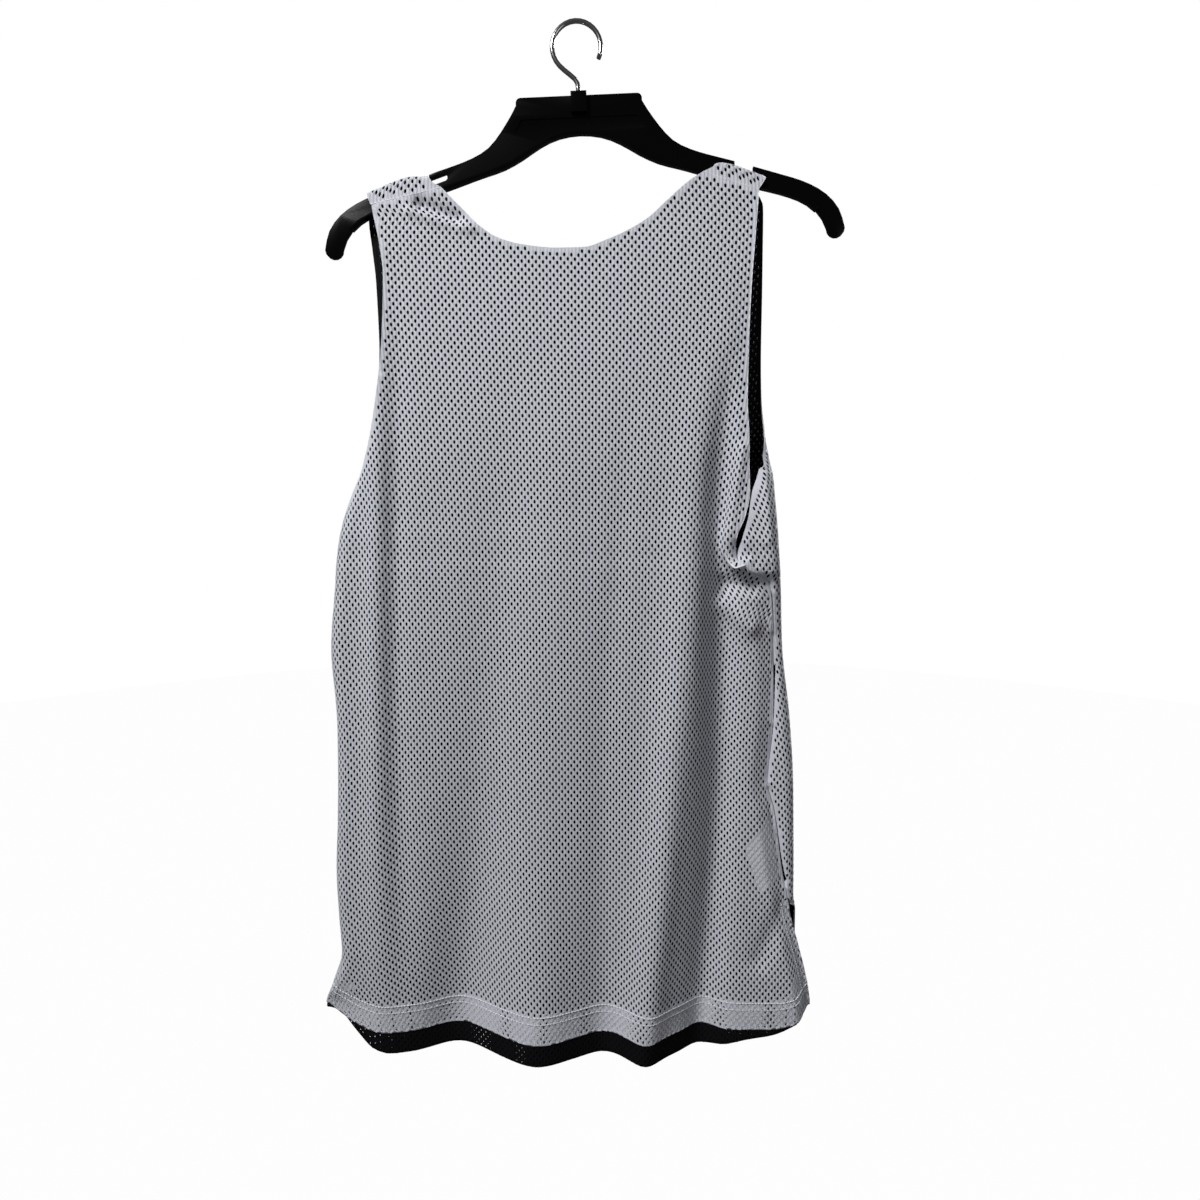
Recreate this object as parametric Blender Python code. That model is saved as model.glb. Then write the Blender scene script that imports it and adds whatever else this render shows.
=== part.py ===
"""Reversible mesh basketball jersey hanging on a plastic clothes hanger.

The jersey has a white outer shell and a black inner shell. Each shell is a back
panel and a front panel, joined at the shoulders and the side seams and open at the
neck, the armholes, the side vents and the hem. The back faces -Y.

Lengths in the tables are millimetres, with x to the right, y from back to front,
and drop the distance below the point where the hook hangs, which is the origin.
"""
import math

import bmesh
import bpy
import numpy as np

MM = 0.001                  # metres in a millimetre

# ---- cloth ------------------------------------------------------------------
WALL = 1.0                  # thickness of each cloth layer
LAYER_STEP = 1.45           # middle of the white layer to middle of the black one
SEAM_GAP = 0.3              # space between two pieces along a seam
HEM_HEIGHT = 21.0           # turned-up hem
HEM_EXTRA = 0.4             # how far the doubled hem stands out
HEM_STEP = 0.8              # height over which the hem thickens
WHITE_LEVEL = 872.0         # drop of the white hem
CAP_WIDTH = 13.0            # x radius of the round left side
TURN_WIDTH = 10.0           # x radius of the round right side of the front panel
EDGE_BEND = 19.0            # over which the back bends to its right side seam

# ---- shoulder fold over the hanger -------------------------------------------
FOLD_HALF_DEPTH = 7.0       # y of the cloth on both sides of the hanger
FOLD_RADIUS = 3.0           # corner radius of the fold
FOLD_QUARTER = math.pi * FOLD_RADIUS / 2                # path over one corner
FOLD_FLAT = 2.0 * (FOLD_HALF_DEPTH - FOLD_RADIUS)       # path between the corners
FOLD_WHOLE = 2.0 * FOLD_QUARTER + FOLD_FLAT
STRAP_JOIN = 10.0           # how far below the fold the straps join the front
NOTCH_CENTRE_X = 139.0      # where the right strap sits in the hanger's notch
NOTCH_SQUEEZE = 0.33        # the strap's width inside the notch, as a share
NOTCH_SINK = 0.8            # how far the strap sinks into the notch

# ---- hanger ------------------------------------------------------------------
HANGER_ROLL = math.radians(2.4)
WEB_THICKNESS = 3.4
RIM_THICKNESS = 7.0
RIM_HEIGHT = 2.6
NOTCH_START = 127.0         # distance from the middle to the notch
NOTCH_WIDTH = 15.4
NOTCH_DEPTH = 9.4
SLOT_LENGTH = 14.0          # undercut of the notch towards the middle
SLOT_HEIGHT = 5.2
BLOCK_HALF_WIDTH = 52.0
BLOCK_TOP = 56.0            # drop of the block's top edge
RECESS_DEPTH = 0.5
BOSS_HALF_WIDTH = 6.5
BOSS_THICKNESS = 9.6
BOSS_BOTTOM = 70.0
WIRE_RADIUS = 1.9
HOOK_RADIUS = 20.0          # to the middle of the wire
SOCKET_RADIUS = 2.3
SOCKET_BOTTOM = 66.0
HANGER_STEPS = 26           # points along the arm's edges

# ---- care label --------------------------------------------------------------
LABEL_WALL = 1.0
LABEL_DEPTH = WALL / 2 + SEAM_GAP + LABEL_WALL / 2      # below the middle of the white back
LABEL_ROOM = LABEL_DEPTH + LABEL_WALL / 2 + SEAM_GAP + WALL / 2 - LAYER_STEP
LABEL_CENTRE = (168.0, 706.0)       # x and drop
LABEL_REACH = 50.0

# Back panel, a row for each level. left and right are its edges, flat_y its depth,
# side_y the depth right of the side valley, edge_y the depth of its right edge, and
# left_turn says how far the left edge has turned round to the side seam.
BACK_SECTIONS = (
    # drop, left, right, flat_y, side_y, edge_y, left_turn
    (110, -171.0, 153.0, -7.0, -7.0, -7.0, 0.00),
    (140, -169.5, 151.0, -7.2, -7.2, -7.2, 0.00),
    (175, -163.3, 148.6, -8.4, -8.4, -8.4, 0.00),
    (200, -160.6, 147.0, -9.2, -8.8, -8.8, 0.00),
    (250, -162.4, 145.3, -11.0, -10.0, -9.0, 0.00),
    (300, -167.6, 145.0, -12.5, -11.0, -9.5, 0.10),
    (330, -172.5, 146.8, -13.5, -11.5, -10.0, 0.25),
    (360, -182.5, 147.7, -14.0, -11.0, -10.0, 0.45),
    (380, -192.5, 148.5, -14.0, -11.0, -11.0, 0.62),
    (400, -201.5, 144.0, -14.0, -11.0, -12.0, 0.80),
    (420, -207.5, 138.8, -14.5, -10.0, -12.0, 0.95),
    (434, -209.8, 138.8, -14.5, -8.0, -9.0, 1.00),
    (446, -211.2, 149.0, -15.0, -5.0, -4.0, 1.00),
    (458, -212.3, 168.8, -15.0, -3.0, 2.0, 1.00),
    (520, -218.0, 174.8, -15.0, -3.0, 3.0, 1.00),
    (580, -215.3, 176.5, -15.0, -4.0, 3.0, 1.00),
    (640, -216.5, 172.8, -15.0, -4.0, 3.0, 1.00),
    (668, -217.8, 179.5, -15.0, -5.0, 3.0, 1.00),
    (730, -221.0, 189.2, -15.0, -6.0, 3.0, 1.00),
    (752, -220.4, 194.4, -15.0, -7.0, 3.2, 1.00),
    (766, -220.0, 196.8, -15.0, -7.2, 3.4, 1.00),
    (796, -218.7, 205.0, -15.0, -8.0, 4.5, 1.00),
    (830, -228.0, 214.0, -15.0, -10.0, 6.0, 0.50),
    (857, -239.0, 219.0, -15.0, -11.0, 7.5, 0.10),
    (900, -243.0, 223.0, -15.0, -11.0, 8.0, 0.00),
)

# Front panel, a row for each level. right is its outermost x, edge its right edge,
# which comes round to the back where right_turn is 1, near_y the depth there, and
# edge_y the depth of that edge. Where the seam is closed the edge is the back's.
FRONT_SECTIONS = (
    # drop, left, right, edge, flat_y, near_y, edge_y, left_turn, right_turn
    (100, -172.0, 156.0, 156.0, 7.0, 0.0, 0.0, 0.00, 0.00),
    (130, -175.0, 157.5, 157.5, 7.0, 0.0, 0.0, 0.00, 0.00),
    (150, -175.6, 158.0, 158.0, 7.3, 0.0, 0.0, 0.00, 0.00),
    (175, -173.5, 158.4, 158.4, 8.2, 0.0, 0.0, 0.00, 0.00),
    (200, -171.5, 158.8, 158.8, 9.0, 0.0, 0.0, 0.00, 0.00),
    (250, -170.6, 159.3, 159.3, 10.0, 0.0, 0.0, 0.00, 0.10),
    (300, -174.8, 160.8, 160.8, 12.0, -0.5, 0.0, 0.09, 0.30),
    (328, -179.2, 163.5, 162.5, 13.0, -1.0, 0.0, 0.24, 0.60),
    (352, -184.2, 168.0, 160.5, 14.0, -4.0, 0.0, 0.42, 0.94),
    (366, -188.0, 170.8, 157.0, 14.5, -8.0, -1.0, 0.52, 1.00),
    (380, -194.5, 172.0, 152.0, 15.0, -11.0, -3.5, 0.62, 1.00),
    (400, -203.0, 174.0, 149.5, 15.5, -13.0, -6.0, 0.80, 1.00),
    (420, -208.5, 176.0, 145.5, 16.0, -13.5, -6.5, 0.95, 1.00),
    (434, -209.8, 177.2, 144.5, 16.5, -12.0, -6.0, 1.00, 1.00),
    (446, -211.2, 178.5, 149.0, 17.0, -9.0, -4.0, 1.00, 1.00),
    (458, -212.3, 180.2, 168.8, 17.0, -4.0, 2.0, 1.00, 1.00),
    (520, -218.0, 184.5, 174.8, 18.5, 0.0, 3.0, 1.00, 1.00),
    (580, -215.3, 192.5, 176.5, 20.0, 0.0, 3.0, 1.00, 1.00),
    (640, -216.5, 197.5, 172.8, 20.0, 0.0, 3.0, 1.00, 1.00),
    (668, -217.8, 198.5, 179.5, 20.0, 0.0, 3.0, 1.00, 1.00),
    (730, -221.0, 200.5, 189.2, 20.0, 1.0, 3.0, 1.00, 1.00),
    (752, -220.4, 201.0, 194.4, 20.0, 2.0, 3.2, 1.00, 1.00),
    (766, -220.0, 203.5, 203.5, 20.0, 3.0, 3.2, 1.00, 0.50),
    (796, -218.7, 205.0, 205.0, 20.0, 4.0, 3.2, 1.00, 0.35),
    (830, -221.0, 207.0, 207.0, 20.0, 4.0, 3.2, 0.45, 0.20),
    (900, -226.0, 209.0, 209.0, 20.0, 4.0, 3.2, 0.20, 0.10),
)

# Folds that run down a panel: x and outward height at four levels, and half width
# at the chest and at the hem. A negative height is a valley.
FOLD_LEVELS = (250.0, 400.0, 620.0, 872.0)
BACK_FOLDS = (
    # name, x at the 4 levels, height at the 4 levels, width chest, width hem
    ("left_crest", -163, -169, -175, -180, 2.0, 6.0, 7.0, 2.0, 11, 16),
    ("left_groove", -152, -156, -161, -160, -1.0, -2.5, -3.0, 0.0, 9, 12),
    ("mid_valley", -50, -64, -85, -113, 0.0, -2.0, -5.0, -17.0, 26, 30),
    ("mid_crest", 5, -14, -28, -36, 0.0, 2.0, 4.0, 18.0, 40, 34),
    ("thin_valley", 50, 38, 23, 22, 0.0, -1.0, -2.5, -4.0, 10, 15),
    ("right_crest", 112, 104, 90, 66, 0.0, 4.0, 12.0, 18.0, 17, 17),
    ("side_valley", 134, 121, 122, 110, 0.0, -11.5, -12.5, -15.0, 12, 15),
)
FRONT_FOLDS = (
    ("left_crest", -150, -150, -150, -160, 0.0, 1.0, 4.0, 10.0, 22, 20),
    ("left_valley", -95, -95, -100, -106, 0.0, -1.0, -3.0, -8.0, 22, 20),
    ("mid_crest", -40, -40, -45, -52, 0.0, 1.0, 4.0, 13.0, 26, 22),
    ("mid_valley", 10, 10, 8, 4, 0.0, -1.5, -4.0, -8.0, 20, 20),
    ("right_crest", 45, 45, 42, 40, 0.0, 2.0, 5.0, 12.0, 22, 18),
    ("right_valley", 85, 85, 82, 80, 0.0, -1.0, -3.0, -5.0, 20, 16),
    ("side_crest", 135, 135, 135, 130, 0.0, 1.0, 4.0, 9.0, 24, 22),
)

# How far the free corner of the left vent bends in, by drop, and over what width.
LEFT_VENT_DIP = ((797, 0.0), (830, 10.0), (857, 22.0), (900, 26.0))
LEFT_VENT_X = -245.0
LEFT_VENT_WIDTH = 38.0

# Short creases of the back panel: from one end to the other, outward height, width.
BACK_CREASES = (
    # name, x_start, drop_start, x_end, drop_end, height, width
    ("strap_groove", -132, 147, -92, 163, -3.4, 5),
    ("strap_ridge", -130, 156, -90, 174, 2.6, 5),
    ("armhole_hollow", 140, 464, 156, 467, -9.0, 10),
    ("armhole_bulge", 138, 487, 156, 495, 5.0, 12),
    ("vent_crease", 190, 757, 167, 806, -3.5, 10),
)

# Cut edges, as x and drop.
BACK_NECK = (
    (-111.0, 130.0), (-102.5, 138.5), (-93.8, 147.0), (-80.5, 160.0), (-66.0, 169.5),
    (-46.0, 175.3), (-17.0, 178.3), (8.0, 177.5), (23.0, 172.6),
    (41.0, 165.0), (59.0, 154.6), (76.0, 139.7), (94.0, 124.4), (105.0, 117.5),
)
BACK_SHOULDERS = ((-170.0, 143.5, -111.0, 130.0), (105.0, 117.5, 151.0, 131.5))
FRONT_NECK = (
    (-121.0, 136.0), (-117.0, 165.0), (-107.0, 192.0), (-88.0, 217.0), (-60.0, 238.0),
    (-28.0, 249.0), (4.0, 252.0), (36.0, 247.0), (66.0, 233.0), (90.0, 210.0),
    (105.0, 183.0), (113.0, 155.0), (116.0, 125.0),
)
FOLD_TOP = ((-176.0, 134.4), (-172.8, 133.2), (-160.4, 128.4), (-148.0, 123.3), (-135.6, 120.5),
            (-122.0, 120.2), (117.0, 109.0), (158.0, 120.2))

# Straps of the front panel from the back's seam over the fold, as edges in x.
STRAPS = (
    # outer at the seam, outer at the fold, outer at the join, then inner likewise
    (-170.0, -172.8, -175.6, -111.0, -123.2, -121.0),
    (151.0, 156.8, 158.0, 105.0, 117.4, 116.0),
)

# Drop of the hems along x.
WHITE_HEM = ((-243, 855), (-226, 863), (-205, 869), (-180, 872), (180, 872), (200, 867),
             (210, 863), (223, 855))
BACK_BLACK_HEM = ((-226, 862), (-205, 879), (-188, 890), (-170, 893), (115, 893),
                  (130, 890), (156, 883), (182, 878), (200, 869), (214, 860))
FRONT_BLACK_HEM = ((-226, 862), (-200, 874), (-170, 880), (170, 880), (195, 873), (209, 864))

# Half outline of the hanger in its own axes, as x and drop.
HANGER_TOP_EDGE = (
    (52.0, 62.0), (56.5, 69.5), (62.5, 78.0), (69.5, 87.0), (78.0, 95.0), (90.0, 101.2),
    (127.0, 112.6), (165.0, 124.4), (181.0, 129.6), (195.5, 136.5), (207.0, 145.5),
    (214.5, 156.5), (218.0, 169.0),
)
HANGER_LOW_EDGE = (
    (203.0, 169.0), (200.0, 162.0), (194.0, 154.0), (184.0, 146.5), (171.0, 141.0),
    (142.0, 132.8), (111.0, 124.3), (84.0, 116.0), (65.0, 110.6), (52.5, 105.0),
    (31.5, 93.0), (20.5, 88.4), (9.5, 86.1), (0.0, 85.5),
)

# ---- mesh density ------------------------------------------------------------
COLUMNS_STRAP = 4           # cells across each strap
COLUMNS_NECK = 26           # cells along the neck
# Rows from the top edge of a column down to the first level.
UPPER_SHARES = (0.0, 0.04, 0.12, 0.26, 0.46, 0.72)
# Levels as the drop at the left edge and at the right edge.
LEVELS = (
    (300, 300), (330, 328), (358, 352), (384, 378), (404, 402), (420, 424), (436, 446),
    (452, 460), (490, 490), (550, 540), (615, 600), (680, 668), (745, 706), (796, 752),
    (811, 766),
)
SEAM_ROWS = slice(len(UPPER_SHARES) + 6, len(UPPER_SHARES) + 14)    # side seams closed
LABEL_ROW = len(UPPER_SHARES) + 11                                  # top of the label
LABEL_COLUMNS = 3
LABEL_FOOT = 0.75           # share of the second row that the label covers
LEFT_TAIL_COLUMNS = 4       # cells over the round left side
LEFT_TAIL = 28.0
BACK_TAIL_COLUMNS = 3       # cells over the bend to the right side seam
BACK_TAIL = 24.0
FRONT_TAIL_COLUMNS = 6      # cells over the round right side
FRONT_TAIL = 36.0
# How the columns are spread over the hem: share of the columns, share of the row.
BACK_HEM_SPREAD = ((0.0, 0.0), (0.60, 0.63), (0.86, 0.80), (1.0, 1.0))
FRONT_HEM_SPREAD = ((0.0, 0.0), (1.0, 1.0))
# Rows of a strap: 1 is the back's seam, 0 the near end of the fold, -3 its far end.
STRAP_STATIONS = (1.0, 0.5, 0.0, -0.33, -0.67, -1.0, -1.5, -2.0, -2.33, -2.67, -3.0)


# ---- curves ------------------------------------------------------------------
def smooth_curve(xs, ys):
    """Return a function for the smooth curve through the points, without overshoot."""
    xs = np.asarray(xs, float)
    ys = np.asarray(ys, float)
    step = np.diff(xs)
    slope = np.diff(ys) / step
    tangent = np.zeros_like(ys)
    tangent[0] = slope[0]
    tangent[-1] = slope[-1]
    for i in range(1, len(xs) - 1):
        if slope[i - 1] * slope[i] > 0:
            before = 2 * step[i] + step[i - 1]
            after = step[i] + 2 * step[i - 1]
            tangent[i] = (before + after) / (before / slope[i - 1] + after / slope[i])

    def value(x):
        x = np.clip(x, xs[0], xs[-1])
        i = np.clip(np.searchsorted(xs, x) - 1, 0, len(xs) - 2)
        t = (x - xs[i]) / step[i]
        rise = ys[i + 1] - ys[i]
        start = tangent[i] * step[i]
        end = tangent[i + 1] * step[i]
        return ys[i] + t * (start + t * (3 * rise - 2 * start - end + t * (start + end - 2 * rise)))

    return value


def table_curves(rows):
    """One smooth curve for each column of a table, against its first column."""
    first = [row[0] for row in rows]
    return [smooth_curve(first, [row[k] for row in rows]) for k in range(1, len(rows[0]))]


def ease(t):
    """0 below 0, 1 above 1, and a soft step between."""
    t = np.clip(t, 0.0, 1.0)
    return t * t * (3.0 - 2.0 * t)


BACK = dict(zip(("left", "right", "flat_y", "side_y", "edge_y", "left_turn"),
                table_curves(BACK_SECTIONS)))
FRONT = dict(zip(("left", "right", "edge", "flat_y", "near_y", "edge_y", "left_turn",
                  "right_turn"), table_curves(FRONT_SECTIONS)))
FOLD_TOP_DROP = smooth_curve(*zip(*FOLD_TOP))
VENT_DIP = smooth_curve(*zip(*LEFT_VENT_DIP))
SIDE_VALLEY = {row[0]: row[1:5] for row in BACK_FOLDS}["side_valley"]
SIDE_VALLEY_X = smooth_curve(FOLD_LEVELS, SIDE_VALLEY)


def fold_height(folds, x, drop):
    """Sum of the folds of a panel at a place."""
    total = 0.0
    for row in folds:
        centre = smooth_curve(FOLD_LEVELS, row[1:5])(drop)
        height = smooth_curve(FOLD_LEVELS, row[5:9])(drop)
        width = np.interp(drop, (FOLD_LEVELS[1], FOLD_LEVELS[-1]), row[9:11])
        total = total + height * np.exp(-((x - centre) / width) ** 2)
    return total * ease((drop - 150.0) / 120.0)


def crease_height(x, drop):
    """Sum of the back panel's short creases at a place."""
    total = 0.0
    for _, x0, d0, x1, d1, height, width in BACK_CREASES:
        along = ((x - x0) * (x1 - x0) + (drop - d0) * (d1 - d0))
        along = np.clip(along / ((x1 - x0) ** 2 + (d1 - d0) ** 2), 0.0, 1.0)
        away = (x - x0 - along * (x1 - x0)) ** 2 + (drop - d0 - along * (d1 - d0)) ** 2
        total = total + height * np.exp(-away / width ** 2)
    return total


# ---- back panel --------------------------------------------------------------
def back_path(drop):
    """Start of the straight stretch, its arc on the left, and the whole length."""
    turn = BACK["left_turn"](drop) * math.pi / 2
    depth = -BACK["flat_y"](drop) - SEAM_GAP / 2
    arc = turn * (CAP_WIDTH + depth) / 2
    start = BACK["left"](drop) + CAP_WIDTH * np.sin(turn)
    return start, arc, arc + BACK["right"](drop) - start


def back_point(s, drop):
    """Middle of the white back at a distance along the row from its left edge."""
    start, arc, _ = back_path(drop)
    turn = BACK["left_turn"](drop) * math.pi / 2
    depth = -BACK["flat_y"](drop) - SEAM_GAP / 2
    angle = turn * np.clip(1.0 - s / np.maximum(arc, 1e-6), 0.0, 1.0)
    x = start + np.maximum(s - arc, 0.0) - CAP_WIDTH * np.sin(angle)
    past_valley = ease((x - SIDE_VALLEY_X(drop) + 10.0) / 28.0)
    flat = BACK["flat_y"](drop) * (1.0 - past_valley) + BACK["side_y"](drop) * past_valley
    y = flat + depth * (1.0 - np.cos(angle))
    to_edge = BACK["right"](drop) - x
    closed = ease((drop - 420.0) / 30.0) * ease((810.0 - drop) / 30.0)
    height = fold_height(BACK_FOLDS, x, drop) + crease_height(x, drop)
    height = height * (1.0 - ease(angle / (math.pi / 2)) * closed)
    at_edge = 1.0 - ease(to_edge / EDGE_BEND)
    y = (y - height * np.cos(angle)) * (1.0 - at_edge) + BACK["edge_y"](drop) * at_edge
    y = y + VENT_DIP(drop) * np.exp(-((x - LEFT_VENT_X) / LEFT_VENT_WIDTH) ** 2)
    x = x - height * np.sin(angle) * (1.0 - at_edge)
    return np.stack([x, y, -drop], -1)


# ---- front panel -------------------------------------------------------------
def front_path(drop):
    """Ends of the straight stretch, the two arcs, the strip, and the whole length."""
    turn_left = FRONT["left_turn"](drop) * math.pi / 2
    depth = FRONT["flat_y"](drop) - SEAM_GAP / 2
    arc_left = turn_left * (CAP_WIDTH + depth) / 2
    start = FRONT["left"](drop) + CAP_WIDTH * np.sin(turn_left)
    right = FRONT["right"](drop)
    turn_right = FRONT["right_turn"](drop) * math.pi
    half_depth = (FRONT["flat_y"](drop) - FRONT["near_y"](drop)) / 2
    edge = FRONT["edge"](drop)
    full = ease((FRONT["right_turn"](drop) - 0.9) / 0.1)
    width = TURN_WIDTH * (1.0 - full) + np.minimum(TURN_WIDTH, right - edge) * full
    reach = np.where(turn_right > math.pi / 2, 1.0, np.sin(turn_right))
    end = right - width * reach
    arc_right = turn_right * (width + half_depth) / 2
    strip = np.maximum(end - edge, 0.0) * full
    return start, end, arc_left, arc_right, strip, width, half_depth


def front_length(drop):
    start, end, arc_left, arc_right, strip, _, _ = front_path(drop)
    return arc_left + (end - start) + arc_right + strip


def front_point(s, drop):
    """Middle of the white front at a distance along the row from its left edge."""
    start, end, arc_left, arc_right, strip, width, half_depth = front_path(drop)
    turn_left = FRONT["left_turn"](drop) * math.pi / 2
    turn_right = FRONT["right_turn"](drop) * math.pi
    flat = FRONT["flat_y"](drop)
    depth = flat - SEAM_GAP / 2
    left_angle = turn_left * np.clip(1.0 - s / np.maximum(arc_left, 1e-6), 0.0, 1.0)
    along = np.clip(s - arc_left, 0.0, end - start)
    round_part = np.clip((s - arc_left - (end - start)) / np.maximum(arc_right, 1e-6), 0.0, 1.0)
    right_angle = turn_right * round_part
    strip_part = np.clip(s - arc_left - (end - start) - arc_right, 0.0, strip)
    x = (start + along - CAP_WIDTH * np.sin(left_angle) + width * np.sin(right_angle)
         - strip_part)
    y = flat - depth * (1.0 - np.cos(left_angle)) - half_depth * (1.0 - np.cos(right_angle))
    share = strip_part / np.maximum(strip, 1e-6)
    y = y + (FRONT["edge_y"](drop) - FRONT["near_y"](drop)) * share * (strip > 0.5)
    inside = ease(along / 25.0) * ease((end - start - along) / 25.0)
    y = y + fold_height(FRONT_FOLDS, x, drop) * inside
    x, _ = notch_shift(x, -fold_distance(x, drop))
    return np.stack([x, y, -drop], -1)


def fold_distance(x, drop):
    """Distance down the front from where the fold ends."""
    return drop - FOLD_TOP_DROP(x) - FOLD_RADIUS


def notch_shift(x, above):
    """Gather the right strap towards the notch; above is the distance past the fold."""
    over = above - FOLD_WHOLE / 2
    far_reach = 60.0 - 36.0 * ease((x - NOTCH_CENTRE_X + 15.0) / 30.0)
    reach = np.where(over > 0.0, 6.5, far_reach)
    gather = 1.0 - ease((np.abs(over) - 1.9) / reach)
    gather = gather * ease((x - 85.0) / 30.0)
    width = 1.0 - (1.0 - NOTCH_SQUEEZE) * gather
    return NOTCH_CENTRE_X + (x - NOTCH_CENTRE_X) * width, NOTCH_SINK * gather


def strap_point(x, above, offset):
    """Point on the fold over the hanger; above is the path length past the front."""
    x, sink = notch_shift(x, above)
    radius = FOLD_RADIUS + offset
    base = -FOLD_TOP_DROP(x) - FOLD_RADIUS - sink
    first = np.clip(above / FOLD_QUARTER, 0.0, 1.0) * math.pi / 2
    middle = np.clip(above - FOLD_QUARTER, 0.0, FOLD_FLAT)
    second = np.clip((above - FOLD_QUARTER - FOLD_FLAT) / FOLD_QUARTER, 0.0, 1.0) * math.pi / 2
    down = np.maximum(above - FOLD_WHOLE, 0.0)
    y = (FOLD_HALF_DEPTH - FOLD_RADIUS) + radius * np.cos(first) - middle - radius * np.sin(second)
    z = base + radius * np.sin(first) * np.cos(second) - down
    return np.stack([x, y, z], -1)


def outward(point, s, drop, side=1.0):
    """Unit normals of a panel that face out of the jersey; the front needs side -1."""
    step = 0.4
    across = point(s + step, drop) - point(s - step, drop)
    down = point(s, drop + step) - point(s, drop - step)
    normal = np.cross(down, across) * side
    return normal / np.linalg.norm(normal, axis=-1, keepdims=True)


# ---- solids ------------------------------------------------------------------
def new_object(name, vertices, faces, material):
    mesh = bpy.data.meshes.new(name)
    mesh.from_pydata([tuple(v) for v in np.asarray(vertices) * MM], [], faces)
    bm = bmesh.new()
    bm.from_mesh(mesh)
    bmesh.ops.recalc_face_normals(bm, faces=bm.faces)
    for face in bm.faces:
        face.smooth = True
    bm.to_mesh(mesh)
    bm.free()
    mesh.materials.append(material)
    obj = bpy.data.objects.new(name, mesh)
    bpy.context.scene.collection.objects.link(obj)
    return obj


def wall_solid(name, middle, outside, inside, cells, material):
    """Close the space between two grids of points into one solid.

    middle decides which way each cell is split, so that layers stay parallel.
    """
    used = sorted({corner for i, j in cells for corner in
                   ((i, j), (i, j + 1), (i + 1, j), (i + 1, j + 1))})
    index = {corner: n for n, corner in enumerate(used)}
    count = len(used)
    vertices = [outside[corner] for corner in used] + [inside[corner] for corner in used]
    faces = []
    edges = {}
    for i, j in cells:
        ring = [index[(i, j)], index[(i, j + 1)], index[(i + 1, j + 1)], index[(i + 1, j)]]
        falling = np.linalg.norm(middle[i, j] - middle[i + 1, j + 1])
        rising = np.linalg.norm(middle[i, j + 1] - middle[i + 1, j])
        start = 0 if falling < rising else 1
        turned = ring[start:] + ring[:start]
        for face in (turned[:3], [turned[0], turned[2], turned[3]]):
            faces.append(list(face))
            faces.append([n + count for n in reversed(face)])
        for a, b in zip(ring, ring[1:] + ring[:1]):
            key = (min(a, b), max(a, b))
            edges[key] = None if key in edges else (a, b)
    for pair in edges.values():
        if pair is not None:
            a, b = pair
            faces.append([b, a, a + count, b + count])
    return new_object(name, vertices, faces, material)


def cut_line(points, count):
    """Points evenly spread along a smooth cut edge."""
    points = np.asarray(points, float)
    length = np.concatenate([[0.0], np.cumsum(np.linalg.norm(np.diff(points, axis=0), axis=1))])
    at = np.linspace(0.0, length[-1], count + 1)
    return np.stack([smooth_curve(length, points[:, k])(at) for k in range(2)], -1)


def hem_curve(points):
    return smooth_curve([p[0] for p in points], [p[1] for p in points])


def body_places(columns, length, left_tail, right_tail):
    """Distances along rows of the body, with closer columns at both round sides."""
    left_columns, left = left_tail
    right_columns, right = right_tail
    number = np.arange(columns + 1)
    middle = columns - left_columns - right_columns
    from_left = number * left / left_columns
    between = left + (number - left_columns) * (length - left - right) / middle
    from_right = length - (columns - number) * right / right_columns
    places = np.where(number < left_columns, from_left, between)
    return np.where(number > columns - right_columns, from_right, places)


def column_grid(top, length, point, right_tail, hem_spread, hems):
    """Distances along the row and drops for every node of a panel's grid.

    top is the upper edge, as distance and drop; hems are the white hem and, for a
    black panel, its own lower one.
    """
    top_s, top_drop = top
    columns = len(top_s) - 1
    across = np.linspace(0.0, 1.0, columns + 1)
    hem_share = smooth_curve(*zip(*hem_spread))(across)
    levels = [left + (right - left) * across for left, right in LEVELS]
    first = [top_drop + share * (levels[0] - top_drop) for share in UPPER_SHARES]
    low_x = point(hem_share * length(WHITE_LEVEL), np.full(columns + 1, WHITE_LEVEL))[:, 0]
    white = hems[0](low_x)
    below = [white - HEM_HEIGHT, white - HEM_HEIGHT + HEM_STEP, white]
    if len(hems) > 1:
        black = np.maximum(hems[1](low_x), white + 2.5)
        below += [white + HEM_STEP, black]
    drop = np.stack(first + levels + below)
    body = body_places(columns, length(drop), (LEFT_TAIL_COLUMNS, LEFT_TAIL), right_tail(drop))
    at_top = 1.0 - ease((drop - 150.0) / 180.0)
    at_hem = ease((drop - 720.0) / 110.0)
    along = (top_s / length(top_drop)) * length(drop) * at_top + body * (1.0 - at_top)
    along = along * (1.0 - at_hem) + hem_share * length(drop) * at_hem
    return along, drop


def label_room(points):
    """How far the black back gives way inwards round the care label."""
    x, drop = LABEL_CENTRE
    away = np.hypot(points[..., 0] - x, -points[..., 2] - drop)
    return LABEL_ROOM * (1.0 - ease((away - LABEL_REACH) / 16.0))


def back_length(drop):
    return back_path(drop)[2]


def back_grid(hems):
    """Grid of the back, whose top edge is a shoulder, the neck and a shoulder."""
    straps = [np.stack([np.linspace(x0, x1, COLUMNS_STRAP + 1),
                        np.linspace(d0, d1, COLUMNS_STRAP + 1)], -1)
              for x0, d0, x1, d1 in BACK_SHOULDERS]
    neck = cut_line(BACK_NECK, COLUMNS_NECK)
    edge = np.concatenate([straps[0][:-1], neck, straps[1][1:]])
    drop = edge[:, 1] + SEAM_GAP / 2
    top = (np.clip(edge[:, 0] - BACK["left"](drop), 0.0, back_length(drop)), drop)
    return column_grid(top, back_length, back_point, back_tail, BACK_HEM_SPREAD, hems)


def back_tail(drop):
    return BACK_TAIL_COLUMNS, np.full(np.shape(drop), BACK_TAIL)


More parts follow.
